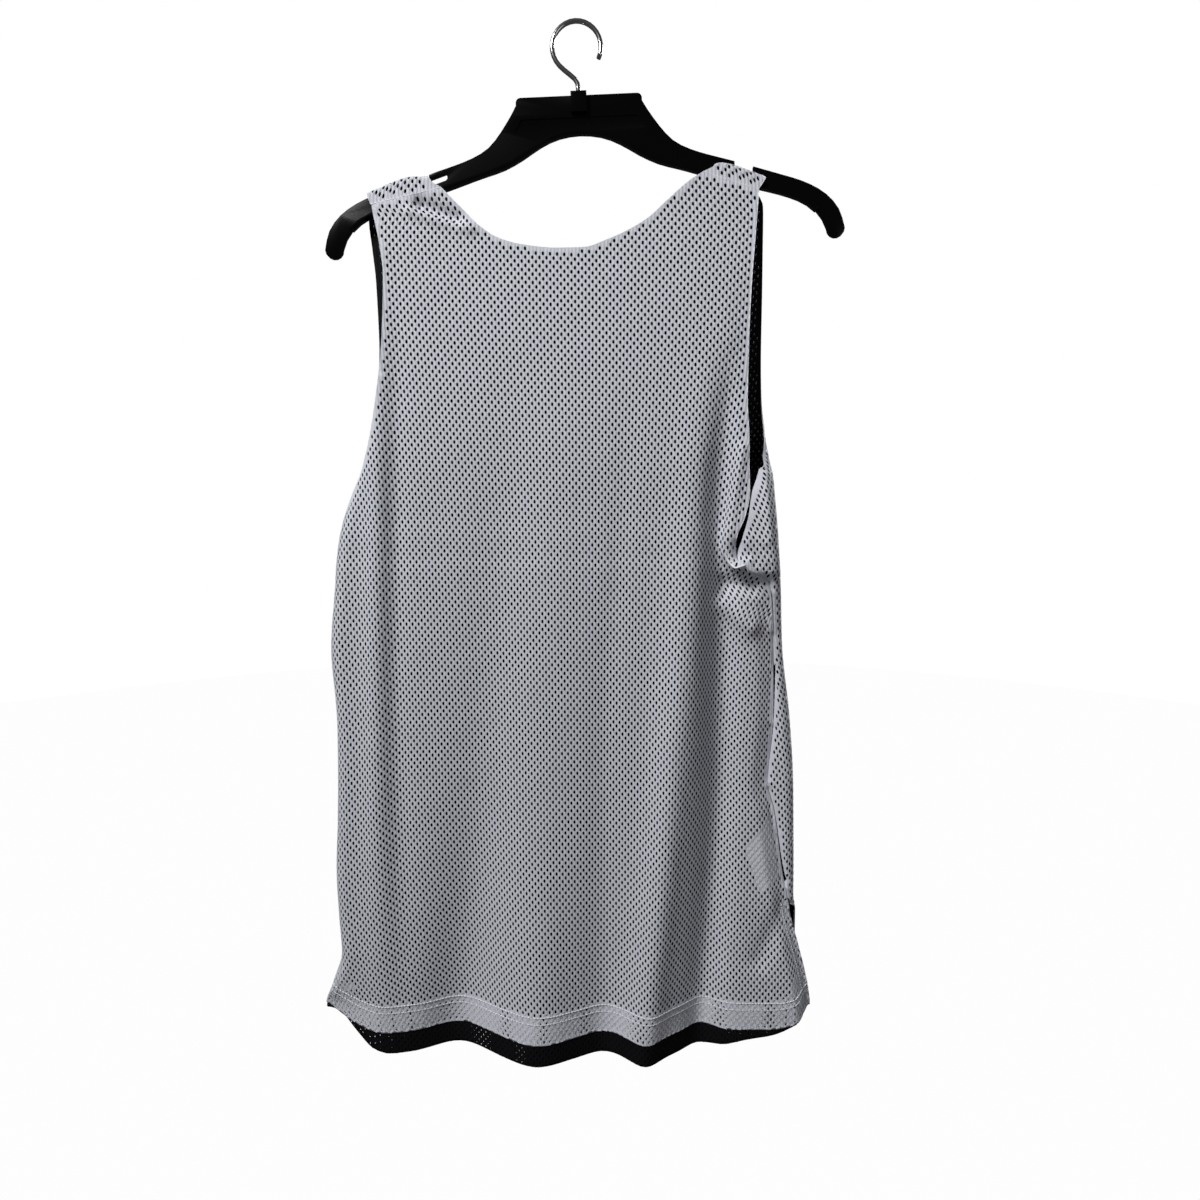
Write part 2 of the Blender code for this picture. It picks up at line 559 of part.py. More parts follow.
def sewn_rows(normal):
    """Give the edge columns square normals where the side seams are closed."""
    normal[SEAM_ROWS, 0] = (-1.0, 0.0, 0.0)
    normal[SEAM_ROWS, -1] = (0.0, -1.0, 0.0)
    return normal


def wall_offsets(shape, layer):
    """Outward moves of a layer's two faces, thicker along its turned-up hem."""
    outer = np.full(shape, WALL / 2 - layer * LAYER_STEP)
    inner = np.full(shape, -WALL / 2 - layer * LAYER_STEP)
    if layer == 0:
        outer[-2:] += HEM_EXTRA
    else:
        inner[-2:] -= HEM_EXTRA
    return outer, inner


def make_back(name, material, layer, hems):
    s, drop = back_grid(hems)
    middle = back_point(s, drop)
    normal = sewn_rows(outward(back_point, s, drop))
    outer, inner = wall_offsets(s.shape, layer)
    if layer:
        outer = outer - label_room(middle)
        inner = inner - label_room(middle)
    cells = [(i, j) for i in range(s.shape[0] - 1) for j in range(s.shape[1] - 1)]
    return wall_solid(name, middle, middle + normal * outer[..., None],
                      middle + normal * inner[..., None], cells, material)


def strap_rows(side, layer_offset):
    """Outside or inside points of one strap, from the back's seam to the join."""
    outer_seam, outer_fold, outer_join, inner_seam, inner_fold, inner_join = STRAPS[side]
    x0, d0, x1, d1 = BACK_SHOULDERS[side]
    rows = []
    for station in STRAP_STATIONS:
        if station >= 0.0:
            outer = outer_fold + (outer_seam - outer_fold) * station
            inner = inner_fold + (inner_seam - inner_fold) * station
        else:
            outer = outer_fold + (outer_join - outer_fold) * ease(-station / 4.0)
            inner = inner_fold + (inner_join - inner_fold) * ease(-station / 4.0)
        ends = (outer, inner) if side == 0 else (inner, outer)
        x = np.linspace(*ends, COLUMNS_STRAP + 1)
        seam_x = np.linspace(x0, x1, COLUMNS_STRAP + 1)
        seam_drop = np.linspace(d0, d1, COLUMNS_STRAP + 1) - SEAM_GAP / 2
        leg = seam_drop - FOLD_TOP_DROP(x) - FOLD_RADIUS
        if station >= 0.0:
            above = FOLD_WHOLE + leg * station
        elif station >= -1.0:
            above = np.full(x.shape, FOLD_WHOLE + FOLD_QUARTER * station)
        elif station >= -2.0:
            above = np.full(x.shape, FOLD_QUARTER + FOLD_FLAT * (2.0 + station))
        else:
            above = np.full(x.shape, FOLD_QUARTER * (3.0 + station))
        rows.append(strap_point(x, above, layer_offset))
    return np.stack(rows)


def front_grid(hems):
    """Grid of the front below the joins of its straps."""
    neck = cut_line(FRONT_NECK, COLUMNS_NECK)
    joins = []
    for side in (0, 1):
        outer_join, inner_join = STRAPS[side][2], STRAPS[side][5]
        ends = (outer_join, inner_join) if side == 0 else (inner_join, outer_join)
        x = np.linspace(*ends, COLUMNS_STRAP + 1)
        joins.append(np.stack([x, FOLD_TOP_DROP(x) + FOLD_RADIUS + STRAP_JOIN], -1))
    edge = np.concatenate([joins[0], neck[1:-1], joins[1]])
    drop = edge[:, 1]
    top = (np.clip(edge[:, 0] - FRONT["left"](drop), 0.0, front_length(drop)), drop)
    return column_grid(top, front_length, front_point, front_tail, FRONT_HEM_SPREAD, hems)


def front_tail(drop):
    _, _, _, arc, strip, _, _ = front_path(drop)
    return FRONT_TAIL_COLUMNS, np.hypot(np.maximum(arc + strip - 24.0, 0.0), 24.0) + 12.0


def make_front(name, material, layer, hems):
    s, drop = front_grid(hems)
    middle = front_point(s, drop)
    middle[SEAM_ROWS, -1, 0] += SEAM_GAP
    normal = sewn_rows(outward(front_point, s, drop, -1.0))
    strap_count = len(STRAP_STATIONS)
    rows, columns = strap_count + s.shape[0], s.shape[1]
    sheets = []
    for offset in (np.zeros(s.shape), *wall_offsets(s.shape, layer)):
        grid = np.zeros((rows, columns, 3))
        grid[strap_count:] = middle + normal * offset[..., None]
        for side, first in ((0, 0), (1, columns - COLUMNS_STRAP - 1)):
            strap = strap_rows(side, offset[0, 0])
            grid[:strap_count, first:first + COLUMNS_STRAP + 1] = strap
        sheets.append(grid)
    cells = []
    for i in range(rows - 1):
        for j in range(columns - 1):
            in_strap = j < COLUMNS_STRAP or j >= columns - 1 - COLUMNS_STRAP
            if i >= strap_count or in_strap:
                cells.append((i, j))
    return wall_solid(name, *sheets, cells, material)


def make_label(material, hems):
    """Care label between the two layers of the back, sewn into the right side seam."""
    s, drop = back_grid(hems)
    middle = back_point(s, drop)
    normal = sewn_rows(outward(back_point, s, drop))
    block = slice(s.shape[1] - 1 - LABEL_COLUMNS, s.shape[1])
    sheets = []
    for offset in (0.0, LABEL_WALL / 2 - LABEL_DEPTH, -LABEL_WALL / 2 - LABEL_DEPTH):
        layer = (middle + normal * offset)[LABEL_ROW:LABEL_ROW + 3, block]
        layer[2] = layer[1] + (layer[2] - layer[1]) * LABEL_FOOT
        sheets.append(layer)
    cells = [(i, j) for i in range(2) for j in range(LABEL_COLUMNS)]
    return wall_solid("care_label", *sheets, cells, material)


# ---- hanger ------------------------------------------------------------------
def place_hanger(points):
    """Turn points of the hanger's own axes about the hanging point."""
    points = np.asarray(points, float)
    x, y, z = points[..., 0], points[..., 1], points[..., 2]
    cos, sin = math.cos(HANGER_ROLL), math.sin(HANGER_ROLL)
    return np.stack([x * cos - z * sin, y, x * sin + z * cos], -1)


def plate(name, outline, thickness, material):
    """Flat piece of the hanger with the given outline, in x and drop."""
    count = len(outline)
    front = [(x, -thickness / 2, -drop) for x, drop in outline]
    back = [(x, thickness / 2, -drop) for x, drop in outline]
    faces = [list(range(count)), list(range(2 * count - 1, count - 1, -1))]
    faces += [[i, (i + 1) % count, count + (i + 1) % count, count + i] for i in range(count)]
    return new_object(name, place_hanger(front + back), faces, material)


def arc_points(centre, radius, start, end, count):
    angles = np.radians(np.linspace(start, end, count + 1))
    return [(centre[0] + radius * math.cos(a), centre[1] - radius * math.sin(a)) for a in angles]


def notch_points(upper):
    """Notch and its undercut in the top edge, from the middle outwards."""
    edge = smooth_curve([p[0] for p in upper], [p[1] for p in upper])
    slope = float(edge(NOTCH_START + NOTCH_WIDTH) - edge(NOTCH_START)) / NOTCH_WIDTH
    end = NOTCH_START + NOTCH_WIDTH
    slot_end = NOTCH_START - SLOT_LENGTH

    def at(x, depth):
        return (x, float(edge(NOTCH_START)) + (x - NOTCH_START) * slope + depth)

    roof = NOTCH_DEPTH - SLOT_HEIGHT
    return [at(NOTCH_START, 0.0), at(NOTCH_START, roof), at(slot_end, roof),
            at(slot_end - 1.2, roof + 1.2), at(slot_end - 1.2, NOTCH_DEPTH - 1.2),
            at(slot_end, NOTCH_DEPTH), at(end - 1.0, NOTCH_DEPTH), at(end, NOTCH_DEPTH - 1.0),
            at(end, 0.0)]


def hanger_half():
    """Outline of the right half, from the middle of the block's top to the arch."""
    upper = [tuple(p) for p in cut_line(HANGER_TOP_EDGE, HANGER_STEPS)]
    before = [p for p in upper if p[0] < NOTCH_START - 0.5]
    after = [p for p in upper if p[0] > NOTCH_START + NOTCH_WIDTH + 0.5]
    tip = arc_points((210.5, 169.0), 7.5, 0.0, -180.0, 7)[1:-1]
    lower = [tuple(p) for p in cut_line(HANGER_LOW_EDGE, HANGER_STEPS)]
    corner = arc_points((BLOCK_HALF_WIDTH - 4.0, BLOCK_TOP + 4.0), 4.0, 90.0, 10.0, 4)
    return corner + before + notch_points(upper) + after + tip + lower


def mirrored(points):
    return [(-x, drop) for x, drop in reversed(points) if abs(x) > 1e-6]


def combine(target, tool, operation):
    """Join or cut two hanger pieces, and drop the tool."""
    modifier = target.modifiers.new(operation.lower(), "BOOLEAN")
    modifier.operation = operation
    modifier.solver = "EXACT"
    modifier.object = tool
    bpy.context.view_layer.update()
    graph = bpy.context.evaluated_depsgraph_get()
    mesh = bpy.data.meshes.new_from_object(target.evaluated_get(graph))
    target.modifiers.clear()
    target.data = mesh
    bpy.data.objects.remove(tool)


def box_outline(half_width, top, bottom):
    return [(-half_width, top), (half_width, top), (half_width, bottom), (-half_width, bottom)]


def make_hanger(material):
    half = hanger_half()
    body = plate("hanger_body", half + mirrored(half), WEB_THICKNESS, material)

    low = cut_line(HANGER_LOW_EDGE, HANGER_STEPS)
    direction = np.gradient(low, axis=0)
    direction = direction / np.linalg.norm(direction, axis=1, keepdims=True)
    inner = low + np.stack([-direction[:, 1], direction[:, 0]], -1) * RIM_HEIGHT
    inner = inner[2:]
    inner[-1, 0] = 0.0
    inner = inner[inner[:, 0] > -1e-6]
    low = low[2:]
    rim_low = [tuple(p) for p in low] + mirrored([tuple(p) for p in low])
    rim_high = [tuple(p) for p in inner] + mirrored([tuple(p) for p in inner])
    rim = plate("rim", rim_low + list(reversed(rim_high)), RIM_THICKNESS, material)
    combine(body, rim, "UNION")

    boss = plate("boss", box_outline(BOSS_HALF_WIDTH, BLOCK_TOP - 2.0, BOSS_BOTTOM),
                 BOSS_THICKNESS, material)
    combine(body, boss, "UNION")

    socket = tube("socket", [(0.0, 0.0, -BLOCK_TOP + 12.0), (0.0, 0.0, -SOCKET_BOTTOM)],
                  SOCKET_RADIUS, 16, material)
    combine(body, socket, "DIFFERENCE")

    for side in (-1.0, 1.0):
        recess = plate("recess", [(-54.0, 82.0), (-50.0, 84.6), (50.0, 84.6), (54.0, 82.0),
                                  (48.0, 73.0), (-48.0, 73.0)], 1.0, material)
        for vertex in recess.data.vertices:
            vertex.co.y += side * (WEB_THICKNESS / 2 + 0.5 - RECESS_DEPTH) * MM
        combine(body, recess, "DIFFERENCE")

    for polygon in body.data.polygons:
        polygon.use_smooth = False
    return body


def tube(name, path, radius, segments, material):
    """Round rod along a path in the hanger's own axes, with flat ends."""
    path = np.asarray(path, float)
    direction = np.gradient(path, axis=0)
    direction = direction / np.linalg.norm(direction, axis=1, keepdims=True)
    side = np.array([0.0, 1.0, 0.0])
    vertices = []
    for centre, ahead in zip(path, direction):
        other = np.cross(ahead, side)
        for k in range(segments):
            angle = 2.0 * math.pi * k / segments
            vertices.append(centre + radius * (math.cos(angle) * side + math.sin(angle) * other))
    faces = []
    for i in range(len(path) - 1):
        for k in range(segments):
            after = (k + 1) % segments
            faces.append([i * segments + k, i * segments + after,
                          (i + 1) * segments + after, (i + 1) * segments + k])
    last = (len(path) - 1) * segments
    faces.append(list(range(segments))[::-1])
    faces.append([last + k for k in range(segments)])
    return new_object(name, place_hanger(vertices), faces, material)


def make_hook(material):
    """Wire hook that turns in the boss; its inner top is the hanging point."""
    centre_z = WIRE_RADIUS - HOOK_RADIUS
    stem = [(0.0, 0.0, -SOCKET_BOTTOM + 0.6), (0.0, 0.0, -56.0), (0.0, 0.0, -50.0),
            (-0.5, 0.0, -46.0), (-2.6, 0.0, -42.4), (-6.4, 0.0, -39.0), (-11.0, 0.0, -35.2)]
    angles = np.radians(np.linspace(222.0, -28.0, 22))
    bow = [(HOOK_RADIUS * math.cos(a), 0.0, centre_z + HOOK_RADIUS * math.sin(a)) for a in angles]
    return tube("hanger_hook", stem + bow, WIRE_RADIUS, 12, material)


# ---- materials and assembly --------------------------------------------------
def make_material(name, colour, roughness, metallic=0.0):
    material = bpy.data.materials.new(name)
    material.use_nodes = True
    shader = material.node_tree.nodes["Principled BSDF"]
    shader.inputs["Base Color"].default_value = (*colour, 1.0)
    shader.inputs["Roughness"].default_value = roughness
    shader.inputs["Metallic"].default_value = metallic
    material.diffuse_color = (*colour, 1.0)
    return material


def clear_scene():
    for obj in list(bpy.data.objects):
        bpy.data.objects.remove(obj)


def main():
    clear_scene()
    white = make_material("white_mesh", (0.72, 0.72, 0.76), 0.75)
    black = make_material("black_mesh", (0.012, 0.012, 0.014), 0.7)
    plastic = make_material("hanger_plastic", (0.012, 0.012, 0.013), 0.32)
    wire = make_material("hook_wire", (0.60, 0.60, 0.61), 0.2, 1.0)
    label = make_material("label_satin", (0.82, 0.82, 0.84), 0.5)
    white_hem = hem_curve(WHITE_HEM)
    make_back("back_white", white, 0, [white_hem])
    make_back("back_black", black, 1, [white_hem, hem_curve(BACK_BLACK_HEM)])
    make_front("front_white", white, 0, [white_hem])
    make_front("front_black", black, 1, [white_hem, hem_curve(FRONT_BLACK_HEM)])
    make_label(label, [white_hem])
    make_hanger(plastic)
    make_hook(wire)


main()
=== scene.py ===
"""Looks of a reversible mesh basketball jersey hanging on a plastic clothes hanger.

The white shell and the black shell are thin sheets of mesh knit with real holes, cut
from lattices that run through the cloth. Tables are in millimetres, with x to the
right, y from back to front, and drop the distance below the point where the hook hangs.
A place on a panel is s, the distance along a level from its left edge, and a drop; u is
the distance along the cloth from the column that hangs straight down.
"""

import math

import bmesh
import bpy
import numpy as np
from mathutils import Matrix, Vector


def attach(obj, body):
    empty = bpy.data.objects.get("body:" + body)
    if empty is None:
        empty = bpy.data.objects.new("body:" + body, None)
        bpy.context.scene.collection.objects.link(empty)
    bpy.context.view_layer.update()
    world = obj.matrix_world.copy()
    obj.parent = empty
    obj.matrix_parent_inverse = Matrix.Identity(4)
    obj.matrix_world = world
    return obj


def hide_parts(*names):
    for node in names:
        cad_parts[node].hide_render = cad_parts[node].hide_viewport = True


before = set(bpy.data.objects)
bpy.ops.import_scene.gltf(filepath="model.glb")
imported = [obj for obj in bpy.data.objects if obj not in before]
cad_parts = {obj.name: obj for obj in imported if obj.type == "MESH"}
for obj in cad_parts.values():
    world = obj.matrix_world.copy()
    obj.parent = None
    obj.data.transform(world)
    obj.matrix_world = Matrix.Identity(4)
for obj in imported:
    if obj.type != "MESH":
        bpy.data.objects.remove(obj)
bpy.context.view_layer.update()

MM = 0.001  # metres in a millimetre
TINY = 1e-9  # keeps divisions away from zero

# ---- cloth ----
LAYER_STEP = 1.45  # middle of the white layer to middle of the black one
SEAM_GAP = 0.3  # space between the front and the back along a seam
WHITE_LEVEL = 872.0  # drop of the white hem
CAP_WIDTH = 13.0  # x radius of the round left side
TURN_WIDTH = 10.0  # x radius of the round right side of the front panel
EDGE_BEND = 19.0  # over which the back bends to its right side seam
VALLEY_LEAD = 10.0  # the back's depth changes from this far left of the side valley
VALLEY_SPAN = 28.0  # over this width
LEFT_CLOSED = (420.0, 810.0)  # drops between which the left turn has no folds
CLOSED_EASE = 30.0  # how soon they fade there
FOLDS_TOP = 150.0  # the folds begin at this drop
FOLDS_EASE = 120.0  # and are whole this much lower
FOLD_MARGIN = 25.0  # the front's folds fade out this close to its turns
TURN_FADE = 12.0  # its small creases begin this far before its near strip
TURN_FULL = 0.9  # a larger share of a right turn is a whole turn with a near strip
STRIP_LEAST = 0.5  # a narrower strip stays level

# ---- shoulder fold over the hanger ----
FOLD_HALF_DEPTH = 7.0  # y of the cloth on both sides of the hanger
FOLD_RADIUS = 3.0  # corner radius of the fold
FOLD_QUARTER = math.pi * FOLD_RADIUS / 2  # path over one corner
FOLD_FLAT = 2.0 * (FOLD_HALF_DEPTH - FOLD_RADIUS)  # path between the corners
FOLD_WHOLE = 2.0 * FOLD_QUARTER + FOLD_FLAT
STRAP_JOIN = 10.0  # how far below the fold the straps join the front
NOTCH_CENTRE_X = 139.0  # where the right strap sits in the hanger's notch
NOTCH_SQUEEZE = 0.33  # the strap's width inside the notch, as a share
NOTCH_SINK = 0.8  # how far the strap sinks into the notch
NOTCH_SPAN = 30.0  # width over which the gathers change
GATHER_START = 85.0  # the strap is gathered right of this x
GATHER_FLAT = 1.9  # half the path over the hanger with the whole gather
BACK_REACH = 6.5  # how far down the back it fades
FRONT_REACH = (60.0, 24.0)  # and down the front, by the neck and by the armhole
STRAP_LEVEL = 148.0  # s on the straps is measured from the left edge here

# Back panel, a row for each level. left and right are its edges, flat_y its depth,
# side_y the depth right of the side valley, edge_y the depth of its right edge, and
# left_turn says how far the left edge has turned round to the side seam.
BACK_SECTIONS = (
    # drop, left, right, flat_y, side_y, edge_y, left_turn
    (110, -171, 153, -7, -7, -7, 0),
    (140, -169.5, 151, -7.2, -7.2, -7.2, 0),
    (175, -163.3, 148.6, -8.4, -8.4, -8.4, 0),
    (200, -160.6, 147, -9.2, -8.8, -8.8, 0),
    (250, -162.4, 145.3, -11, -10, -9, 0),
    (300, -167.6, 145, -12.5, -11, -9.5, 0.1),
    (330, -172.5, 146.8, -13.5, -11.5, -10, 0.25),
    (360, -182.5, 147.7, -14, -11, -10, 0.45),
    (380, -192.5, 148.5, -14, -11, -10, 0.62),
    (400, -201.5, 144.8, -14, -11, -10.5, 0.8),
    (420, -207.5, 138, -14.5, -10, -9.5, 0.95),
    (434, -209.8, 139, -14.5, -9, -7, 1),
    (446, -211.2, 149, -15, -8, -12, 1),
    (458, -212.3, 168.8, -15, -5, -2.5, 1),
    (520, -218, 174.8, -15, -3, 3, 1),
    (580, -215.3, 176.5, -15, -4, 3, 1),
    (640, -216.5, 172.8, -15, -4, 3, 1),
    (668, -217.8, 179.5, -15, -5, 3, 1),
    (730, -221, 189.2, -15, -6, 3, 1),
    (752, -220.4, 194.4, -15, -7, 3.2, 1),
    (766, -220, 196.8, -15, -7.2, 3.4, 1),
    (796, -218.7, 205, -15, -8, 4.5, 1),
    (830, -228, 214, -15, -10, 6, 0.5),
    (857, -239, 219, -15, -11, 7.5, 0.1),
    (900, -243, 223, -15, -11, 8, 0),
)

# Front panel, a row for each level. right is its outermost x, edge its right edge,
# which comes round to the back where right_turn is 1, near_y the depth there, and
# edge_y the depth of that edge. Where the seam is closed the edge is the back's.
FRONT_SECTIONS = (
    # drop, left, right, edge, flat_y, near_y, edge_y, left_turn, right_turn
    (100, -172, 156, 156, 7, 0, 0, 0, 0),
    (130, -175, 157.5, 157.5, 7, 0, 0, 0, 0),
    (150, -175.6, 158, 158, 7.3, 0, 0, 0, 0),
    (175, -173.5, 158.4, 158.4, 8.2, 0, 0, 0, 0),
    (200, -171.5, 158.8, 158.8, 9, 0, 0, 0, 0),
    (250, -170.6, 159.3, 159.3, 10, 0, 0, 0, 0.1),
    (300, -174.8, 160.8, 160.8, 12, -0.5, 0, 0.09, 0.3),
    (328, -179.2, 163.5, 162.5, 13, -1, 0, 0.24, 0.6),
    (352, -184.2, 168, 160.5, 14, -4, 0, 0.42, 0.94),
    (366, -188, 170.8, 155.5, 14.5, -9, -4, 0.52, 1),
    (380, -194.5, 172, 150.4, 15, -12, -8, 0.62, 1),
    (400, -203, 174, 147.6, 15.5, -14, -10, 0.8, 1),
    (420, -208.5, 176, 142.4, 16, -14.5, -9.5, 0.95, 1),
    (434, -209.8, 177.2, 139, 16.5, -14, -7, 1, 1),
    (446, -211.2, 178.5, 149, 17, -13, -12, 1, 1),
    (458, -212.3, 180.2, 168.8, 17, -6, -2.5, 1, 1),
    (520, -218, 184.5, 174.8, 18.5, 0, 3, 1, 1),
    (580, -215.3, 192.5, 176.5, 20, 0, 3, 1, 1),
    (640, -216.5, 197.5, 172.8, 20, 0, 3, 1, 1),
    (668, -217.8, 198.5, 179.5, 20, 0, 3, 1, 1),
    (730, -221, 200.5, 189.2, 20, 1, 3, 1, 1),
    (752, -220.4, 201, 194.4, 20, 2, 3.2, 1, 1),
    (766, -220, 203.5, 203.5, 20, 3, 3.2, 1, 0.5),
    (796, -218.7, 205, 205, 20, 4, 3.2, 1, 0.35),
    (830, -221, 207, 207, 20, 4, 3.2, 0.45, 0.2),
    (900, -226, 209, 209, 20, 4, 3.2, 0.2, 0.1),
)

# Folds that run down a panel: x and outward height at four levels, and half width
# at the chest and at the hem. A negative height is a valley.
FOLD_LEVELS = (250, 400, 620, 872)
BACK_FOLDS = (
    # name, x at the 4 levels, height at the 4 levels, width chest, width hem
    ("left_crest", -163, -169, -175, -180, 2, 6, 7, 2, 11, 16),
    ("left_groove", -152, -156, -161, -160, -1, -2.5, -3, 0, 9, 12),
    ("mid_valley", -50, -64, -85, -113, 0, -2, -5, -17, 26, 30),
    ("mid_crest", 5, -14, -28, -36, 0, 2, 4, 18, 40, 34),
    ("thin_valley", 50, 38, 23, 22, 0, -1, -2.5, -4, 10, 15),
    ("right_crest", 112, 100, 84, 61, 0, 4, 12, 18, 18, 19),
    ("side_valley", 134, 122, 124, 112, 0, -13, -14.5, -13.5, 13, 16),
)
FRONT_FOLDS = (
    ("left_crest", -150, -150, -150, -160, 0, 1, 4, 10, 22, 20),
    ("left_valley", -95, -95, -100, -106, 0, -1, -3, -8, 22, 20),
    ("mid_crest", -40, -40, -45, -52, 0, 1, 4, 13, 26, 22),
    ("mid_valley", 10, 10, 8, 4, 0, -1.5, -4, -8, 20, 20),
    ("right_crest", 45, 45, 42, 40, 0, 2, 5, 12, 22, 18),
    ("right_valley", 85, 85, 82, 80, 0, -1, -3, -5, 20, 16),
    ("side_crest", 135, 135, 135, 130, 0, 1, 4, 9, 24, 22),
)

# How far the free corner of the left vent bends in, by drop, and over what width.
LEFT_VENT_DIP = ((797, 0), (830, 10), (857, 22), (900, 26))
LEFT_VENT_X = -245
LEFT_VENT_WIDTH = 38

# Short creases of the back panel: from one end to the other, outward height, width.
BACK_CREASES = (
    # name, x_start, drop_start, x_end, drop_end, height, width
    ("strap_groove", -129, 143, -99, 155, -5, 5.5),
    ("strap_ridge", -138, 149, -87, 163, 2.6, 4.8),
    ("armhole_hollow", 130, 459, 154, 461, -5.5, 8),
    ("armhole_bulge", 130, 478, 152, 497, 5, 9),
    ("vent_crease", 190, 757, 167, 806, -3.5, 10),
)

# Cut edges, as x and drop.
BACK_NECK = (
    (-111, 130), (-102.5, 138.5), (-93.8, 147), (-80.5, 160), (-66, 169.5),
    (-46, 175.3), (-17, 178.3), (8, 177.5), (23, 172.6),
    (41, 165), (59, 154.6), (76, 139.7), (94, 124.4), (105, 117.5),
)
BACK_SHOULDERS = ((-170, 143.5, -111, 130), (105, 117.5, 151, 131.5))
FRONT_NECK = (
    (-121, 136), (-117, 165), (-107, 192), (-88, 217), (-60, 238),
    (-28, 249), (4, 252), (36, 247), (66, 233), (90, 210),
    (105, 183), (113, 155), (116, 125),
)
FOLD_TOP = ((-176, 134.4), (-172.8, 133.2), (-160.4, 128.4), (-148, 123.3), (-135.6, 120.5),
            (-122, 120.2), (117, 109), (158, 120.2))

# Straps of the front panel from the back's seam over the fold, as edges in x.
STRAPS = (
    # outer at the seam, outer at the fold, outer at the join, then inner likewise
    (-170, -172.8, -175.6, -111, -123.2, -121),
    (151, 156.8, 158, 105, 117.4, 116),
)

# Drop of the hems along x.
WHITE_HEM = ((-243, 855), (-226, 863), (-205, 869), (-180, 872), (180, 872), (200, 867),
             (210, 863), (223, 855))
BACK_BLACK_HEM = ((-226, 862), (-205, 879), (-188, 890), (-170, 893), (115, 893),
                  (130, 890), (156, 883), (182, 878), (200, 869), (214, 860))
FRONT_BLACK_HEM = ((-226, 862), (-200, 874), (-170, 880), (170, 880), (195, 873), (209, 864))

# ---- curves ----
def smooth_curve(xs, ys):
    """Return a function for the smooth curve through the points, without overshoot."""
    xs = np.asarray(xs, float)
    ys = np.asarray(ys, float)
    step = np.diff(xs)
    slope = np.diff(ys) / step
    tangent = np.zeros_like(ys)
    tangent[0] = slope[0]
    tangent[-1] = slope[-1]
    for i in range(1, len(xs) - 1):
        if slope[i - 1] * slope[i] > 0:
            before = 2 * step[i] + step[i - 1]
            after = step[i] + 2 * step[i - 1]
            tangent[i] = (before + after) / (before / slope[i - 1] + after / slope[i])

    def value(x):
        x = np.clip(x, xs[0], xs[-1])
        i = np.clip(np.searchsorted(xs, x) - 1, 0, len(xs) - 2)
        t = (x - xs[i]) / step[i]
        rise = ys[i + 1] - ys[i]
        start = tangent[i] * step[i]
        end = tangent[i + 1] * step[i]
        return ys[i] + t * (start + t * (3 * rise - 2 * start - end + t * (start + end - 2 * rise)))

    return value


def section_curves(rows, *names):
    """A smooth curve for each named column of a table, against its first column."""
    first, *columns = zip(*rows)
    return {name: smooth_curve(first, column) for name, column in zip(names, columns)}


def ease(t):
    """0 below 0, 1 above 1, and a soft step between."""
    t = np.clip(t, 0.0, 1.0)
    return t * t * (3.0 - 2.0 * t)


def unit(vectors):
    """The same vectors with a length of 1."""
    return vectors / np.maximum(np.linalg.norm(vectors, axis=-1, keepdims=True), TINY)


def run_along(points):
    """Distance from the start of a line to each of its points."""
    return np.concatenate([[0.0], np.cumsum(np.linalg.norm(np.diff(points, axis=0), axis=1))])


BACK = section_curves(BACK_SECTIONS, "left", "right", "flat_y", "side_y", "edge_y", "left_turn")
FRONT = section_curves(FRONT_SECTIONS, "left", "right", "edge", "flat_y", "near_y", "edge_y",
                       "left_turn", "right_turn")
FOLD_TOP_DROP = smooth_curve(*zip(*FOLD_TOP))
VENT_DIP = smooth_curve(*zip(*LEFT_VENT_DIP))
SIDE_VALLEY_X = smooth_curve(FOLD_LEVELS, BACK_FOLDS[-1][1:5])  # the last fold


def fold_end(x):
    """Drop at which the fold over the hanger has turned down, on both of its sides."""
    return FOLD_TOP_DROP(x) + FOLD_RADIUS


def fold_height(folds, x, drop):
    """Sum of the folds of a panel at a place."""
    total = 0.0
    for row in folds:
        centre = smooth_curve(FOLD_LEVELS, row[1:5])(drop)
        height = smooth_curve(FOLD_LEVELS, row[5:9])(drop)
        width = np.interp(drop, (FOLD_LEVELS[1], FOLD_LEVELS[-1]), row[9:11])
        total = total + height * np.exp(-((x - centre) / width) ** 2)
    return total * ease((drop - FOLDS_TOP) / FOLDS_EASE)


def crease_height(creases, x, drop):
    """Sum of short creases at a place."""
    total = 0.0
    for _, x0, d0, x1, d1, height, width in creases:
        along = (x - x0) * (x1 - x0) + (drop - d0) * (d1 - d0)
        along = np.clip(along / ((x1 - x0) ** 2 + (d1 - d0) ** 2), 0.0, 1.0)
        away = (x - x0 - along * (x1 - x0)) ** 2 + (drop - d0 - along * (d1 - d0)) ** 2
        total = total + height * np.exp(-away / width ** 2)
    return total


# ---- back panel ----
def back_path(drop):
    """Angle, depth and arc of the left turn, where it ends, and the whole length."""
    turn = BACK["left_turn"](drop) * math.pi / 2
    depth = -BACK["flat_y"](drop) - SEAM_GAP / 2
    arc = turn * (CAP_WIDTH + depth) / 2
    start = BACK["left"](drop) + CAP_WIDTH * np.sin(turn)
    return turn, depth, arc, start, arc + BACK["right"](drop) - start


def back_length(drop):
    return back_path(drop)[-1]


def back_s(x, drop):
    """Distance along a level of the back to a place past its left turn."""
    _, _, arc, start, _ = back_path(drop)
    return arc + x - start


